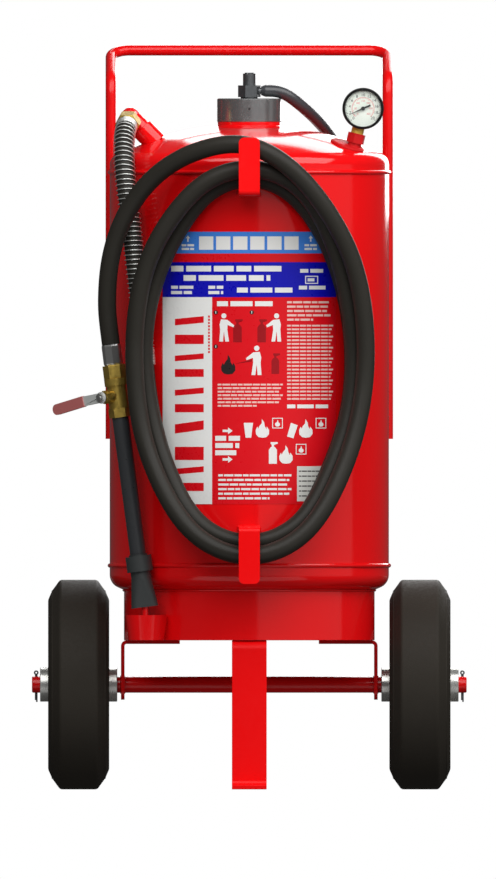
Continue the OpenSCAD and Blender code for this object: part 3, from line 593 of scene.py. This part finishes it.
for name, z in (("seam_weld_low", SEAM_LOW), ("seam_weld_high", SEAM_HIGH)):
    bead = [(TANK_R - 1, z - 3.4)] + arc((TANK_R, z), 3.4, -78, 78, 10) + [(TANK_R - 1, z + 3.4)]
    lathe(name, bead, paint, steps=720, ripple=weld_ripple,
          replaces=["weld_seams"] if z == SEAM_LOW else ())

SKIRT_IN, SKIRT_R = 197, 202
skirt_top = crown_z(SKIRT_R, False) + 1.5
lathe("base_skirt_ring", rounded([(SKIRT_IN, SKIRT_LOW), (SKIRT_R, SKIRT_LOW), (SKIRT_R, skirt_top),
                                  (SKIRT_IN, skirt_top)], 0.9),
      paint, steps=256, replaces=["base_skirt"])
lathe("skirt_weld", arc((SKIRT_R, crown_z(SKIRT_R, False)), 2.6, 190, 370, 8), paint, steps=720,
      ripple=weld_ripple)

NECK_BORE, NECK_R, NECK_LOW, NECK_STEP = 37, 51, 1050, 1100
THREAD_R, CAP_BORE, CAP_R, CAP_TOP_R = 43, 9, 51.8, 50.4
cap_ceiling = CAP_LOW + 27
neck_foot = crown_z(NECK_R)
lathe("filler_neck_ring", rounded([
    (NECK_BORE, NECK_LOW), (NECK_BORE, NECK_STEP), (THREAD_R, NECK_STEP), (THREAD_R, CAP_LOW),
    (NECK_R, CAP_LOW), (NECK_R, neck_foot + 1), (NECK_R + 1.5, neck_foot - 0.5), (NECK_R, NECK_LOW + 10)],
    0.6), paint, steps=160, replaces=["filler_neck"])
lathe("filler_cap_turned", rounded([
    (CAP_BORE, CAP_HIGH, 0), (CAP_BORE, cap_ceiling, 0), (THREAD_R + 0.2, cap_ceiling, 0),
    (THREAD_R + 0.2, CAP_LOW, 0.2), (CAP_R - 0.5, CAP_LOW, 0.4), (CAP_R, CAP_LOW + 1.6, 0.3),
    (CAP_R, CAP_HIGH - 1.6, 0.4), (CAP_TOP_R, CAP_HIGH, 0.4)], 0.3), cap_metal, steps=192,
    replaces=["filler_cap"])
lathe("filler_cap_vent", [(0.01, 0.1), (2, 0.1), (2, -1), (0.01, -1)], seal,
      turned((0, -CAP_R, 1097), ("X", 90)), steps=24, slot="cap_grey")


# ---- the fixed CAD nodes that keep their shape

def soften(node, material, bevel=0.5, angle=40):
    """A CAD node keeps its mesh; its corners get a small bevel and it gets its material."""
    obj = NODES[node]
    obj.data.materials.clear()
    obj.data.materials.append(material)
    if bevel:
        weld = obj.modifiers.new("weld", "WELD")
        weld.merge_threshold = 0.00001
        edge = obj.modifiers.new("bevel", "BEVEL")
        edge.width = bevel * MM
        edge.segments = 2
        edge.limit_method = "ANGLE"
        edge.angle_limit = radians(angle)
        normals = obj.modifiers.new("normals", "WEIGHTED_NORMAL")
        normals.weight = 80


KEPT = {
    "front_label": INKS["red"], "cap_gasket": seal, "gas_inlet_fitting": dark_steel,
    "relief_valve": dark_steel, "gas_tube": zinc, "siphon_tube": zinc, "outlet_elbow": paint,
    "valve_seats": ptfe, "valve_ball": chrome, "valve_stem": zinc, "nozzle_cup": paint,
    "gauge_pad": pad_paint, "gauge_stem": stem_brass, "gauge_dial": dial_white,
    "gauge_lens": lens, "gauge_needle": mark_black, "bourdon_tube": brass,
    "axle": shaded_frame_paint, "bushes_left": bush_nylon, "bushes_right": bush_nylon, "co2_cradle": shaded_frame_paint,
}
NO_BEVEL = {"front_label", "gauge_lens", "gauge_dial", "gauge_needle", "bourdon_tube", "valve_ball",
            "gas_tube", "siphon_tube"}
for node, material in KEPT.items():
    soften(node, material, 0 if node in NO_BEVEL else 0.4)


# ---- outlet and gas hose

nut("outlet_nut_hex", 35, 20, 10, brass, pointing(HOSE_START - HOSE_DIR * 20, HOSE_DIR), turn=30,
    replaces=["outlet_nut"])

GAS_Z = 1126.2
GAS_R = 9.8
GAS_END = Vector((45, 288, 820))
GAS_ROUTE = [(82, 14, 1104), (104, 50, 1085), (122, 92, 1065), (132, 134, 1054), (138, 175, 1040),
             (134, 209, 1008), (124, 231, 960), (110, 248, 910), (95, 264, 868), (80, 280, 832)]
gas_control = ([Vector((x, 0, GAS_Z)) for x in (-2, 26, 54)]
               + [Vector(p) for p in GAS_ROUTE]
               + [GAS_END + Vector((18, 0, 0)), GAS_END, GAS_END - Vector((18, 0, 0))])
wire("gas_hose_rubber", spline(gas_control, 12), GAS_R, gas_rubber, sides=20,
     replaces=["gas_hose"])
lathe("gas_ferrule_cap", rounded([(5, 0), (7, 0), (GAS_R, 7), (5, 7)], 0.4), gas_rubber,
      turned((19, 0, GAS_Z), ("Y", 90)), steps=64, slot="zinc", replaces=["gas_hose_ferrules"])
nut("gas_ferrule_nut", 17, 8, 3, zinc, turned(GAS_END, (-18, 0, 0), ("Y", 90)))
lathe("gas_ferrule_sleeve", rounded([(3, 0), (GAS_R, 0), (GAS_R, 10), (3, 10)], 0.6), zinc,
      turned(GAS_END, (-10, 0, 0), ("Y", 90)), steps=64)


# ---- hooks, handle, leg and axle brackets

HOOK_W, HOOK_T, HOOK_ROOT = 34, 6, -200
for name, shelf_z, lip_y, lip_end in (("upper_hook", 960, -315, 1051), ("lower_hook", 420, -324.5, 331)):
    strap(name + "_strap", [((0, HOOK_ROOT, shelf_z), 0), ((0, lip_y, shelf_z), 5), ((0, lip_y, lip_end), 0)],
          (1, 0, 0), HOOK_W, HOOK_T, lit_hook_paint, round_end=9, replaces=[name])
for name, z in (("upper_hook_weld", 957), ("lower_hook_weld", 417)):
    edge, step = HOOK_W / 2, HOOK_W / 20
    ring = [(x, -sqrt(TANK_R**2 - x * x), z + dz) for x, dz in
            [(-edge + step * k, -0.5) for k in range(21)] + [(edge, 1.5 * k) for k in range(5)]
            + [(edge - step * k, 6.5) for k in range(21)] + [(-edge, 6 - 1.5 * k) for k in range(4)]]
    weld_bead(name, ring, 1.8, (0, 1, 0), lit_hook_paint)

HANDLE_X, HANDLE_Y, HANDLE_LOW, HANDLE_KNEE = 223.2, 80, 565, 1121
HANDLE_R, HANDLE_BEND, HANDLE_CORNER, HANDLE_SLOPE = 8.5, 34, 30, radians(22)
handle_top = span("handle_frame")[1].z - HANDLE_R
bend_turn = pi / 2 - HANDLE_SLOPE
knee_up = HANDLE_BEND * tan(bend_turn / 2)
knee_z = HANDLE_KNEE + knee_up
back_y = HANDLE_Y + (handle_top - knee_z) / tan(HANDLE_SLOPE)
handle_path = path_through([
    ((HANDLE_X, HANDLE_Y, HANDLE_LOW), 0), ((HANDLE_X, HANDLE_Y, knee_z), HANDLE_BEND),
    ((HANDLE_X, back_y, handle_top), HANDLE_CORNER), ((-HANDLE_X, back_y, handle_top), HANDLE_CORNER),
    ((-HANDLE_X, HANDLE_Y, knee_z), HANDLE_BEND), ((-HANDLE_X, HANDLE_Y, HANDLE_LOW), 0)])
wire("handle_tube", handle_path, HANDLE_R, shaded_frame_paint, sides=24, replaces=["handle_frame"])
for side in (-1, 1):
    for k, z in enumerate((590, 780, 950)):
        name = ("left" if side < 0 else "right") + str(k)
        strap("handle_pad_" + name, [((side * 218, 66, z - 12), 0), ((side * 218, 66, z + 12), 0)], (0, 1, 0),
              19, 15, shaded_frame_paint, bevel=2.0)

strap("front_leg_bar", [((0, -135, 236.8), 0), ((0, -201.5, 236.8), 11.5), ((0, -201.5, 3.5), 11.5),
                        ((0, -250, 3.5), 0)], (1, 0, 0), 56, 7, lit_hook_paint, bevel=0.9,
      replaces=["front_leg"])
BRACKET_X, BRACKET_T = 204, 5.8
for side, name in ((-1, "left"), (1, "right")):
    x = side * BRACKET_X
    strap("axle_bracket_" + name, [((side * 112, AXLE_Y, 237.4), 0), ((x, AXLE_Y, 237.4), 6.1),
                                   ((x, AXLE_Y, 144.6), 0)], (0, 1, 0), 76, BRACKET_T, shaded_frame_paint, bevel=0.7,
          round_end=14, replaces=["axle_brackets"] if side < 0 else ())
    for inner in (-1, 1):
        face = x + inner * BRACKET_T / 2
        ring = [(face, AXLE_Y + 13.6 * cos(a / 30 * pi), AXLE_Z + 13.6 * sin(a / 30 * pi))
                for a in range(60)]
        weld_bead(f"bracket_weld_{name}_{'in' if inner < 0 else 'out'}", ring, 1.2, (1, 0, 0), shaded_frame_paint)


# ---- wheels

RIM_R, RIM_FLANGE, RIM_T, BEAD_HALF = 78, 88, 3, 36
HUB_R, HUB_BORE, HUB_HALF = 27.5, 18, 62.2


def tyre_outline():
    """A tyre's section, (radius, distance from the middle)."""
    half = [(RIM_R + 0.3, BEAD_HALF - 2, 1), (RIM_FLANGE - 1, BEAD_HALF - 1, 1.5),
            (RIM_FLANGE + 4, BEAD_HALF + 4, 3), (104, TYRE_HALF - 4, 6),
            (107, TYRE_HALF - 3.4, 0.6), (107.6, TYRE_HALF - 1.9, 0.6),
            (113, TYRE_HALF - 1.5, 0.8), (114, TYRE_HALF - 2, 0.8), (136, TYRE_HALF, 12), (150, 43.4, 0.8),
            (151.2, 43.8, 0.5), (152.4, 42.0, 0.5), (TYRE_R, 30, 7)]
    mirrored = [(r, -x, c) for r, x, c in reversed(half)]
    return rounded(half + mirrored, 1)


def wheel(side, name):
    """One wheel's tyre, rim halves, rivets and hub. Side is -1 on the left and 1 on the right."""
    place = turned((side * WHEEL_X, AXLE_Y, AXLE_Z), ("Y", 90))
    body = "wheel_" + name
    lathe("tyre_rubber_" + name, tyre_outline(), tyre_rubber, place, steps=192, body=body,
          replaces=["tyre_" + name])
    t = RIM_T
    web = [(HUB_R, 0.05), (60, 0.05, 4), (RIM_R - 4, 14, 4), (RIM_R, 14, 2), (RIM_R, BEAD_HALF, 3),
           (RIM_FLANGE, BEAD_HALF, 1.4), (RIM_FLANGE, BEAD_HALF + t, 1.4), (RIM_R - t, BEAD_HALF + t, 4),
           (RIM_R - t, 14 + t, 2), (RIM_R - 5, 14 + t, 4), (59, t, 4), (HUB_R + 6, t, 3),
           (HUB_R + 1, t + 6, 2), (HUB_R, t + 8, 0)]
    for half in (-1, 1):
        flat = [(p[0], p[1] * half, *p[2:]) for p in web]
        lathe(f"rim_half_{name}_{'in' if half * side < 0 else 'out'}", rounded(flat, 1), rim_cream, place,
              steps=160, body=body, replaces=["rim_" + name] if half < 0 else ())
    lathe("hub_tube_" + name, rounded([
        (HUB_BORE, -HUB_HALF), (HUB_R, -HUB_HALF, 1.2), (HUB_R, HUB_HALF, 1.2), (HUB_BORE, HUB_HALF)], 0.6),
        hub_steel, place, steps=128, body=body, replaces=["hub_" + name])
    for k in range(6):
        a = radians(60 * k + 30)
        for half in (-1, 1):
            rivet = place @ turned((43 * cos(a), 43 * sin(a), 0), ("X", 0 if half > 0 else 180),
                                   (0, 0, t))
            lathe(f"rim_rivet_{name}_{k}_{'in' if half < 0 else 'out'}",
                  [(0.01, 3.4)] + arc((0, -1.2), 4.8, 80, 25, 5) + [(4.4, -0.2), (0.01, -0.2)], rim_cream,
                  rivet, closed=False, steps=20, body=body)


wheel(-1, "left")
wheel(1, "right")

PIN_X, PIN_EYE = 343.5, 2.6
for side, name in ((-1, "left"), (1, "right")):
    x = side * PIN_X
    eye = [(x + PIN_EYE * sin(radians(a)), AXLE_Y,
            AXLE_Z + 19.2 - PIN_EYE * cos(radians(a))) for a in range(20, 341, 20)]
    legs = [(x + 1.0, AXLE_Y, AXLE_Z - 28), (x + 1.0, AXLE_Y, AXLE_Z + 15)] + eye
    legs += [(x - 1.0, AXLE_Y, AXLE_Z + 15), (x - 1.0, AXLE_Y, AXLE_Z - 25)]
    wire("split_pin_" + name, legs, 1.25, dark_steel, sides=8, slot="zinc",
         replaces=["split_pins"] if side < 0 else ())


# ---- the lance

TUBE_FROM, TUBE_TO = 118.5, 341
lathe("lance_tube_black", rounded([(9, TUBE_FROM), (13.4, TUBE_FROM), (12.8, TUBE_TO), (9, TUBE_TO)], 0.5),
      lance_black, LANCE, replaces=["lance_tube"])
soften("valve_adapter", brass, 0.5)
soften("valve_body", brass, 0.6)
soften("packing_nut", brass, 0.4)
soften("lever_nut", zinc, 0.4)
soften("valve_lever", lever_steel, 0.4)
soften("lever_grip", grip_vinyl, 1.6)
soften("nozzle", nozzle_black, 0.6)


# ---- the gauge

GAUGE_FRAME = turned(GAUGE, ("X", -90))
lathe("gauge_case_pressed", rounded([
    (GAUGE_R - 3.5, 9, 0.2), (GAUGE_R - 1.5, 9, 0.3), (GAUGE_R - 1.5, 31, 3), (GAUGE_R - 6, 34, 1.5),
    (0.01, 34, 0), (0.01, 32, 0), (GAUGE_R - 7, 32, 1), (GAUGE_R - 3.5, 29, 1)], 0.5),
    gauge_black, GAUGE_FRAME, replaces=["gauge_case"])
lathe("gauge_bezel_ring", rounded([
    (GAUGE_R - 4, 0, 0.7), (GAUGE_R - 1, 0, 0.9), (GAUGE_R, 2.2, 0.6), (GAUGE_R, 9, 0.7),
    (GAUGE_R - 3.5, 9, 0.3), (GAUGE_R - 3.5, 2, 0.2), (GAUGE_R - 4.4, 2, 0.3)], 0.4), gauge_black,
    GAUGE_FRAME, replaces=["gauge_bezel"])

DIAL_AT = 7.9
SCALE_TURN = 270.0
SCALE_START = 225.0


def dial_mark(verts, faces, angle, r0, r1, wide):
    """A radial tick, angle anticlockwise from +X as seen, in the gauge's frame."""
    a = radians(angle)
    c, s = cos(a), sin(a)
    base = len(verts)
    for r, w in ((r0, -wide / 2), (r0, wide / 2), (r1, wide / 2), (r1, -wide / 2)):
        verts.append((r * c - w * s, -(r * s + w * c), DIAL_AT))
    faces.append([base, base + 1, base + 2, base + 3])


def dial_marks(name, material, r_tick, r_long, r_short, count, every, wide, band):
    """A scale's ticks, every so many of them long, and a thin band round it from band[0] to band[1]."""
    verts, faces = [], []
    for k in range(count + 1):
        angle = SCALE_START - SCALE_TURN * k / count
        dial_mark(verts, faces, angle, r_long if k % every == 0 else r_short, r_tick, wide)
    for k in range(90):
        angle = SCALE_START - SCALE_TURN * (k + 0.5) / 90
        dial_mark(verts, faces, angle, band[0], band[1], 2 * pi * band[1] / 360 * 3.05)
    piece(mesh_object(name, verts, faces, GAUGE_FRAME), material)


dial_marks("dial_scale_black", mark_black, 28.9, 25.4, 27.0, 50, 5, 0.7, (28.7, 29.1))
dial_marks("dial_scale_red", mark_red, 17.8, 15.2, 16.3, 40, 5, 0.5, (17.8, 18.3))


def dial_numbers(name, material, radius, size, step, count):
    """Plain numbers round the dial."""
    joined = bmesh.new()
    for k in range(count + 1):
        a = radians(SCALE_START - SCALE_TURN * k / count)
        text = bpy.data.curves.new("number", "FONT")
        text.body = str(step * k)
        text.size = size * MM
        text.align_x, text.align_y = "CENTER", "CENTER"
        holder = bpy.data.objects.new("number", text)
        shape = bpy.data.meshes.new_from_object(holder)
        shape.transform(Matrix.Translation(at((GAUGE[0] + radius * cos(a), GAUGE[1] + DIAL_AT - 0.05,
                                               GAUGE[2] + radius * sin(a))))
                        @ Matrix.Rotation(radians(90), 4, "X"))
        joined.from_mesh(shape)
        bpy.data.objects.remove(holder)
        bpy.data.meshes.remove(shape)
    data = bpy.data.meshes.new(name)
    joined.to_mesh(data)
    joined.free()
    piece(bpy.data.objects.new(name, data), material)


dial_numbers("dial_numbers_black", mark_black, 21.8, 6.6, 2, 10)
dial_numbers("dial_numbers_red", mark_red, 12.2, 4.2, 50, 6)


# ---- the label

LABEL_HALF, LABEL_LOW, LABEL_HIGH = 139.6, 460, 899
PANEL_EDGE, PANEL_TOP = -60, 793.6
SLICE = 6


class Label:
    """Flat shapes in (x, z) as seen from the front, wrapped on the barrel."""

    def __init__(self, radius):
        self.verts, self.faces, self.inks, self.radius = [], [], [], radius

    def add(self, outline, ink, layer=0):
        """A flat shape, cut into upright slices that follow the barrel."""
        shape = bmesh.new()
        shape.faces.new([shape.verts.new((x, 0, z)) for x, z in outline])
        xs = [p[0] for p in outline]
        cut = ceil(min(xs) / SLICE) * SLICE
        while cut < max(xs):
            bmesh.ops.bisect_plane(shape, geom=shape.verts[:] + shape.edges[:] + shape.faces[:],
                                   plane_co=(cut, 0, 0), plane_no=(1, 0, 0))
            cut += SLICE
        bmesh.ops.triangulate(shape, faces=shape.faces[:])
        r, base = self.radius + 0.12 * layer, len(self.verts)
        shape.verts.index_update()
        self.verts += [(v.co.x, -sqrt(r * r - v.co.x**2), v.co.z) for v in shape.verts]
        for face in shape.faces:
            self.faces.append([base + v.index for v in face.verts])
            self.inks.append(list(INKS).index(ink))
        shape.free()

    def box(self, x0, x1, z0, z1, ink, layer=0):
        self.add([(x0, z0), (x1, z0), (x1, z1), (x0, z1)], ink, layer)

    def disc(self, x, z, r, ink, layer=0):
        self.add([(x + r * cos(radians(a)), z + r * sin(radians(a)))
                  for a in range(0, 360, 20)], ink, layer)

    def lines(self, x0, x1, z_top, count, gap, tall, ink, layer=2, last=0.6):
        """Rows of a paragraph: bars as long as words, with no lettering, the last row shorter."""
        word = 0
        for k in range(count):
            end = x0 + (x1 - x0) * (last if k == count - 1 else 1 - 0.03 * (k * 7 % 3))
            x = x0
            while x < end - tall * 0.5:
                stop = min(end, x + tall * (2.2 + word * 5 % 7 * 0.45))
                self.box(x, stop, z_top - k * gap - tall, z_top - k * gap, ink, layer)
                x, word = stop + tall * 0.5, word + 1

    def frame(self, x0, x1, z0, z1, wide, ink, layer=2):
        """The outline of a box."""
        self.box(x0, x1, z0, z0 + wide, ink, layer)
        self.box(x0, x1, z1 - wide, z1, ink, layer)
        self.box(x0, x0 + wide, z0 + wide, z1 - wide, ink, layer)
        self.box(x1 - wide, x1, z0 + wide, z1 - wide, ink, layer)


def flame(label, x, z, s, ink, layer):
    """A plain flame, s tall."""
    points = [(0, 0), (0.22, 0.03), (0.36, 0.20), (0.36, 0.42), (0.24, 0.60), (0.22, 0.46), (0.13, 0.62),
              (0.10, 0.82), (-0.02, 1.0), (-0.03, 0.78), (-0.16, 0.62), (-0.22, 0.48), (-0.27, 0.60),
              (-0.36, 0.40), (-0.34, 0.18), (-0.20, 0.03)]
    label.add([(x + s * a, z + s * b) for a, b in points], ink, layer)


def bottle(label, x, z, s, ink, layer):
    """A plain hand extinguisher, s tall."""
    label.add([(x + s * a, z + s * b) for a, b in [
        (-0.18, 0), (0.18, 0), (0.18, 0.62), (0.10, 0.74), (0.05, 0.76), (0.05, 0.84), (0.22, 0.90),
        (0.22, 0.97), (-0.10, 0.97), (-0.10, 0.90), (-0.05, 0.84), (-0.05, 0.76), (-0.10, 0.74),
        (-0.18, 0.62)]], ink, layer)


def arrow(label, x, z, s, angle, ink, layer):
    """A plain arrow, s long, from (x, z)."""
    c, n = cos(radians(angle)), sin(radians(angle))
    label.add([(x + s * (a * c - b * n), z + s * (a * n + b * c)) for a, b in [
        (0, -0.12), (0.55, -0.12), (0.55, -0.34), (1, 0), (0.55, 0.34), (0.55, 0.12), (0, 0.12)]], ink, layer)


def person(label, x, z, s, side, ink, layer):
    """A plain standing figure, s tall, with an arm held out to one side."""
    label.disc(x, z + 0.9 * s, 0.09 * s, ink, layer)
    label.add([(x + side * s * a, z + s * b) for a, b in [
        (-0.16, 0), (-0.03, 0), (0, 0.36), (0.05, 0), (0.18, 0), (0.12, 0.42), (0.13, 0.58), (0.34, 0.50),
        (0.36, 0.57), (0.12, 0.76), (-0.10, 0.78), (-0.15, 0.60), (-0.13, 0.42)]], ink, layer)


label = Label(TANK_R + 0.45)
label.box(-LABEL_HALF, LABEL_HALF, LABEL_LOW, LABEL_HIGH, "red")
label.box(-LABEL_HALF, LABEL_HALF, 864, LABEL_HIGH, "sky", 1)
label.box(-LABEL_HALF, LABEL_HALF, PANEL_TOP, 850, "blue", 1)
label.box(-LABEL_HALF, PANEL_EDGE, LABEL_LOW, PANEL_TOP, "white", 1)
# a heading of plain blocks on the light band, between two small arrows
for k in range(6):
    label.box(-81 + 27.5 * k, -58 + 27.5 * k, 870, 891.5, "white", 2)
for x in (-99, 99):
    arrow(label, x, 883, 10, 90, "white", 2)
    label.lines(x - 10, x + 10, 879, 2, 6, 3.4, "white", last=1)
# rows of bars on the deep band
for x0, x1, z_top, count, gap, tall in (
        (-126, 55, 844, 1, 10, 9), (-106, 34, 829, 1, 10, 9), (-126, -90, 812, 2, 8.5, 5),
        (-66, -42, 812, 2, 8.5, 5), (-20, 74, 809, 1, 9, 8), (80, 127, 812, 1, 9, 6),
        (82, 119, 839, 1, 9, 6)):
    label.lines(x0, x1, z_top, count, gap, tall, "white", last=1)
label.frame(90, 111, 815, 828, 1.6, "white")
label.lines(94, 107, 824, 1, 5, 5, "white", last=1)
# broad red stripes up the white panel
for low, high in ((481, 521), (531, 595), (608, 648), (665, 703), (718, 763)):
    third = (high - low) / 3
    label.box(-120, -73.5, low, low + third, "red", 2)
    label.add([(-120, high - third), (-73.5, high - third * 0.7), (-73.5, high), (-120, high - third * 0.3)],
              "red", 2)
label.lines(-66.5, -63.5, 764, 12, 5.2, 3.4, "red", last=1)
# three numbered pictures of how it is used
label.lines(-52, 45, 787, 1, 8, 8, "white", last=1)
for x, z in ((-54, 769), (4, 769), (-54, 714)):
    label.disc(x, z, 3.4, "black", 2)
    label.box(x - 0.6, x + 0.6, z - 2, z + 2, "white", 3)
person(label, -41, 722, 46, 1, "white", 2)
bottle(label, -19, 721, 38, "maroon", 2)
bottle(label, 20, 721, 38, "maroon", 2)
person(label, 44, 722, 46, -1, "white", 2)
flame(label, -34, 669, 32, "black", 2)
label.add([(-24, 686), (4, 693), (4, 690)], "maroon", 2)
person(label, 12, 668, 48, -1, "white", 2)
bottle(label, 42, 670, 34, "maroon", 2)
# paragraphs
label.lines(-51, 54, 654, 7, 5.7, 2.8, "pale")
label.lines(61, 131, 787, 5, 7, 3.4, "pale")
label.lines(61, 135, 749, 21, 5.9, 2.7, "pale", last=0.95)
label.lines(61, 127, 620.5, 1, 7, 6, "white", last=1)
label.lines(-50, 68, 508, 6, 7.4, 3.4, "white", last=0.7)
# what it puts out
arrow(label, -43, 578, 16, 0, "white", 2)
label.lines(-55, -15, 570, 3, 11.6, 8, "white", last=0.85)
arrow(label, -43, 532, 16, 0, "white", 2)
for x, z, goods in ((-9, 567, "bin"), (61, 567, "can"), (29, 525, "bottle")):
    if goods == "bin":
        label.add([(x + 3, z), (x + 12, z), (x + 15, z + 24), (x, z + 24)], "white", 2)
    elif goods == "can":
        label.add([(x, z + 2), (x + 10, z - 1), (x + 17, z + 20), (x + 6, z + 24)], "white", 2)
    else:
        bottle(label, x + 9, z, 36, "white", 2)
    flame(label, x + 30, z, 30, "white", 2)
    label.frame(x + 46, x + 63, z + 15, z + 32, 1.3, "white")
    flame(label, x + 54.5, z + 18, 11, "white", 2)
label.box(76.9, 136, 464.5, 521, "paper", 2)
label.lines(80, 130, 514, 6, 8, 1.8, "black", 3)
sheet = mesh_object("front_label_print", label.verts, label.faces, materials=label.inks)
piece(sheet, [INKS[k] for k in INKS], slot="label", replaces=["front_label"])


# ---- the gas cylinder

CO2 = turned((0, CO2_Y, 0))
CO2_SHOULDER, CO2_NECK_R, CO2_WHEEL_Z = 716, 14, 857
lathe("co2_bottle", rounded([(0.01, CO2_LOW + 3, 0), (CO2_R - 16, CO2_LOW + 3, 3), (CO2_R - 9, CO2_LOW, 3),
                             (CO2_R, CO2_LOW + 8, 6)], 3, closed=False)
      + [(CO2_R, CO2_SHOULDER)] + arc((0, CO2_SHOULDER), CO2_R, 4, 74, 16)
      + [(CO2_NECK_R, CO2_SHOULDER + 52.5), (CO2_NECK_R, CO2_HIGH), (0.01, CO2_HIGH)], co2_grey, CO2,
      closed=False, steps=128, replaces=["co2_cylinder"])
for k, z in enumerate((450, 660)):
    inside, outside = CO2_R + 0.1, CO2_R + 2.5
    lathe(f"co2_strap_{k}", rounded([(inside, z), (outside, z), (outside, z + 28), (inside, z + 28)], 0.5),
          zinc, CO2, replaces=["co2_straps"] if k == 0 else ())
lathe("co2_valve_body", rounded([
    (0.01, 785, 0), (15, 785), (15, 800), (12.5, 803), (12.5, 810), (15, 812), (15, 829), (11.5, 833),
    (11.5, 835), (4.05, 835), (4.05, 825, 0), (0.01, 825, 0)], 0.8, closed=False), brass, CO2, closed=False,
    replaces=["co2_valve"])
nut("co2_valve_gland", 20, 11, 4.05, brass, turned((0, CO2_Y, 835)))
lathe("co2_outlet", rounded([(3, 12), (9, 12), (9, 27), (3, 27)], 0.6), brass,
      turned((0, CO2_Y, GAS_END.z), ("Y", 90)))


def lobed(r, z, a):
    """Eight finger lobes round a handwheel, for lathe()."""
    return (r + 1.0 * cos(8 * a) if r > 24 else r), z


lathe("co2_wheel_rim", arc((26, CO2_WHEEL_Z), 4.6, 0, 342, 19), bakelite, CO2, steps=128, ripple=lobed,
      body="handwheel", replaces=["co2_handwheel"])
lathe("co2_wheel_hub", rounded([(0.01, 830, 0), (4, 830), (4, 850), (9, 850), (9, 864), (5, 864.5), (5, 866),
                                (0.01, 866, 0)], 0.7, closed=False), bakelite, CO2, closed=False, steps=64,
      body="handwheel")
for k in range(4):
    strap(f"co2_wheel_spoke_{k}", [((7, 0, CO2_WHEEL_Z), 0), ((24, 0, CO2_WHEEL_Z), 0)], (0, 1, 0), 7, 4,
          bakelite, place=turned((0, CO2_Y, 0), ("Z", 90 * k)), bevel=1.0, body="handwheel")


# ---- floor and light

FAR = 6000
floor = mesh_object("floor", [(-FAR, -FAR, 0), (FAR, -FAR, 0), (FAR, FAR, 0), (-FAR, FAR, 0)], [[0, 1, 2, 3]])
floor.data.materials.append(shader("floor", (0.88, 0.88, 0.88), 0.6, mottle=0.01))
SCENE.collection.objects.link(floor)
floor.visible_diffuse = floor.visible_glossy = floor.visible_shadow = False

world = bpy.data.worlds.new("studio")
SCENE.world = world
world.use_nodes = True
sky_tree = world.node_tree
around = sky_tree.nodes["Background"]
around.inputs["Color"].default_value = (1, 1, 1, 1)
around.inputs["Strength"].default_value = 0.06
seen = sky_tree.nodes.new("ShaderNodeBackground")
seen.inputs["Color"].default_value = (1, 1, 1, 1)
seen.inputs["Strength"].default_value = 1.0
rays = sky_tree.nodes.new("ShaderNodeLightPath")
choose = sky_tree.nodes.new("ShaderNodeMixShader")
sky_tree.links.new(rays.outputs["Is Camera Ray"], choose.inputs["Fac"])
sky_tree.links.new(around.outputs[0], choose.inputs[1])
sky_tree.links.new(seen.outputs[0], choose.inputs[2])
sky_tree.links.new(choose.outputs[0], sky_tree.nodes["World Output"].inputs["Surface"])


def softbox(name, place, aim, size, power, mirrored):
    """A rectangular studio light, in metres. Shiny pieces mirror it only if mirrored."""
    data = bpy.data.lights.new(name, "AREA")
    data.shape = "RECTANGLE"
    data.size, data.size_y = size
    data.energy = power
    light = bpy.data.objects.new(name, data)
    light.location = place
    light.rotation_euler = (Vector(aim) - Vector(place)).to_track_quat("-Z", "Y").to_euler()
    light.visible_camera = False
    light.visible_glossy = mirrored
    SCENE.collection.objects.link(light)


def panel(name, azimuth, elevation, distance, size, radiance, height=0.6, mirrored=True):
    """A softbox that faces the object from an azimuth and an elevation, as bright as radiance."""
    a, e = radians(azimuth), radians(elevation)
    out = Vector((sin(a) * cos(e), -cos(a) * cos(e), sin(e)))
    aim = Vector((0, 0, height))
    softbox(name, aim + distance * out, aim, size, radiance * pi * size[0] * size[1], mirrored)


panel("key", 22, 44, 3.6, (7.0, 3.1), 3.9)
panel("bounce", 0, -38, 3.4, (6.0, 2.2), 0.55)
panel("side_left", -62, 4, 3.0, (2.6, 1.8), 0.35, mirrored=False)
panel("rim_right", 167.5, 20, 2.8, (1.93, 2.2), 5.0, height=1.0)
panel("side_right", 50, 0, 3.0, (5.5, 1.6), 0.35)

SCENE.view_settings.view_transform = "Standard"
SCENE.view_settings.look = "None"
